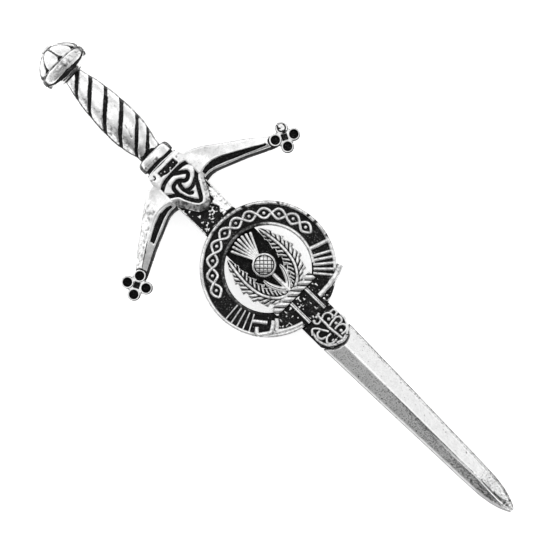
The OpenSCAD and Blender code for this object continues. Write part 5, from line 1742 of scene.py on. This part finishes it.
def leaf(x, y):
    x = -np.abs(x)
    away, share = line_distance(x, y, LEAF_LINE)
    d = edge_distance(x, y, LEAF_EDGE)
    outer = x < np.interp(y, LEAF_LINE[:, 1], LEAF_LINE[:, 0])
    phase = share * 11.2 / 0.80 - 1.1 * away
    vein = np.abs((phase + 0.08 * uneven(flat_points(x, y), 0.6, 101)) % 1 - 0.5)
    cut = np.where(outer, 1 - step(vein, 0.08, 0.18), 1 - step(vein, 0.18, 0.29))
    rib = 1 - step(away, 0.12, 0.24)
    beside = np.exp(-((away - 0.30) / 0.08) ** 2)
    cut = np.clip(cut * step(away, 0.2, 0.3) * step(-d, 0.05, 0.2) + 0.9 * beside, 0, 1) * (1 - rib)
    swell = 0.06 * np.cos(2 * np.pi * phase) * (1 - rib)
    return d, CREST_TOP - 0.30 * step(d, -0.5, 0.05) - 0.22 * cut + 0.17 * rib + swell, 1 - 0.95 * cut


def leaflet(x, y):
    away, share = line_distance(-np.abs(x), y, LEAFLET_LINE)
    half = 0.45 * np.sin(np.pi * np.clip(0.12 + 0.88 * share, 0, 1)) ** 0.6
    cut = np.exp(-(away / 0.07) ** 2)
    return away - half, CREST_TOP - 0.05 - 0.3 * (away / 0.45) ** 2 - 0.12 * cut, 1 - 0.9 * cut


def stalk(x, y):
    d = np.maximum(np.abs(x) - 0.35, np.maximum(y - 0.13 * HOLE_R, -0.70 * HOLE_R - y))
    return d, CREST_TOP - 0.05 - 0.25 * (x / 0.35) ** 2, 1 + 0 * x


print("leaf edge of", len(LEAF_EDGE), "points")

# %% [markdown]
# The head is a dome with two sets of slanting cuts, which leave scales between them, and a ring cut round it.
# The tuft is a fan of seven bars that widen outwards.

# %% Head and tuft
HEAD_Y, HEAD_R = 0.13 * HOLE_R, 0.28 * HOLE_R
SCALE_W = 0.86
TUFT_FOOT, TUFT_LEN = 0.214 * HOLE_R, (0.95 - 0.13) * HOLE_R


def head(x, y):
    r = np.hypot(x, y - HEAD_Y)
    dome = np.sqrt(np.clip(1 - (r / (HEAD_R + 0.12)) ** 2, 0, 1))
    a, b = (x + (y - HEAD_Y)) / SCALE_W, (-x + (y - HEAD_Y)) / SCALE_W
    edge = np.minimum(a % 1, b % 1)
    scaly = r < HEAD_R - 0.42
    cut = (1 - step(edge, 0.10, 0.24)) * scaly
    ring_cut = np.exp(-((r - (HEAD_R - 0.36)) / 0.10) ** 2)
    z = CREST_TOP - 0.15 + 1.08 * dome - 0.10 * cut - 0.16 * ring_cut + 0.10 * edge * scaly
    return r - HEAD_R, z, 1 - 0.92 * np.maximum(cut, ring_cut)


def tuft(x, y):
    d, z, rise = np.full(x.shape, 9.0), np.full(x.shape, CREST_TOP), np.ones(x.shape)
    for turn in range(-27, 28, 9):
        a = math.radians(turn)
        tip = (math.sin(a) * TUFT_LEN * 0.8, HEAD_Y + TUFT_LEN * math.cos(a))
        away, share = line_distance(x, y, [(0, TUFT_FOOT), tip])
        half = 0.13 + 0.12 * share
        nearer = away - half < d
        d = np.where(nearer, away - half, d)
        z = np.where(nearer, CREST_TOP + 0.08 - 0.16 * (away / half) ** 2, z)
        rise = np.where(nearer, 1 - 0.55 * step(away / half, 0.6, 1.0), rise)
    return d, z, rise


SPRAY = [leaf, leaflet, stalk, head, tuft]


def spray_edge(x, y):
    """The outermost edge of all forms, kept inside the ring."""
    forms = np.minimum.reduce([form(x, y - BADGE_Y)[0] for form in SPRAY])
    return np.maximum(forms, np.hypot(x, y - BADGE_Y) - HOLE_R + SEAM)


def spray_height(x, y, d):
    z, rise = np.full(x.shape, -9.0), np.zeros(x.shape)
    for form in SPRAY:
        edge, top, shine = form(x, y - BADGE_Y)
        top = np.where(edge < 0.08, top, -8)
        rise = np.where(top > z, shine, rise)
        z = np.maximum(z, top)
    z = np.maximum(z, RING_BACK + 0.2) + 0.02 * uneven(flat_points(x, y), 0.6, 105)
    return z, rise * (1 - 0.3 * step(d, -0.05, 0))


spray_box = (-HOLE_R, BADGE_Y - HOLE_R, HOLE_R, BADGE_Y + HOLE_R)
spray = plate(spray_edge, spray_box, 0.068, spray_height, RING_BACK, 0.1)
print("spray with", len(spray[0]), "points")

# %% [markdown]
# The wreath is a twisted roll, seen from the side. The same slanting cut comes back seven times, with finer
# lines between.

# %% Wreath
WREATH_X, WREATH_LOW, WREATH_HIGH = 0.62 * HOLE_R, BADGE_Y - 0.905 * HOLE_R, BADGE_Y - 0.70 * HOLE_R
TWISTS = 7


def wreath_edge(x, y):
    return np.maximum(np.abs(x) - WREATH_X, np.maximum(y - WREATH_HIGH, WREATH_LOW - y))


def wreath_height(x, y, d):
    v = (y - (WREATH_LOW + WREATH_HIGH) / 2) / (WREATH_HIGH - WREATH_LOW) * 2
    phase = (x / WREATH_X + 0.09 / 0.62 * v) * TWISTS / 2 + 0.5
    off = np.abs(phase % 1 - 0.5) * 2
    cut = step(off, 0.78, 0.92)
    fine = np.exp(-((np.abs(phase * 3 % 1 - 0.5) * 2 - 1) / 0.16) ** 2)
    z = CREST_TOP + 0.10 - 0.28 * off ** 2 - 0.20 * np.abs(v) ** 2.5 - 0.12 * cut - 0.05 * fine
    return z, 1 - 0.95 * cut - 0.4 * fine


wreath_box = (-WREATH_X - 0.02, WREATH_LOW - 0.02, WREATH_X + 0.02, WREATH_HIGH + 0.02)
wreath = plate(wreath_edge, wreath_box, 0.06, wreath_height, GROUND + SEAM)
cast("thistle_spray", together(spray, wreath), badge_pewter, "pewter", "crest")

# %% [markdown]
# ## Brooch pin
# The bar, hinge block, wire and catch behind stay as they were built, and only get their steel. Nothing finer
# is known about them, as the photo hides the back.

# %% Steel on the back
for thing in bpy.data.objects:
    if thing.type == "MESH" and thing.name.startswith("back_pin"):
        thing.data.materials.clear()
        thing.data.materials.append(pin_steel)
        print("steel on", thing.name)
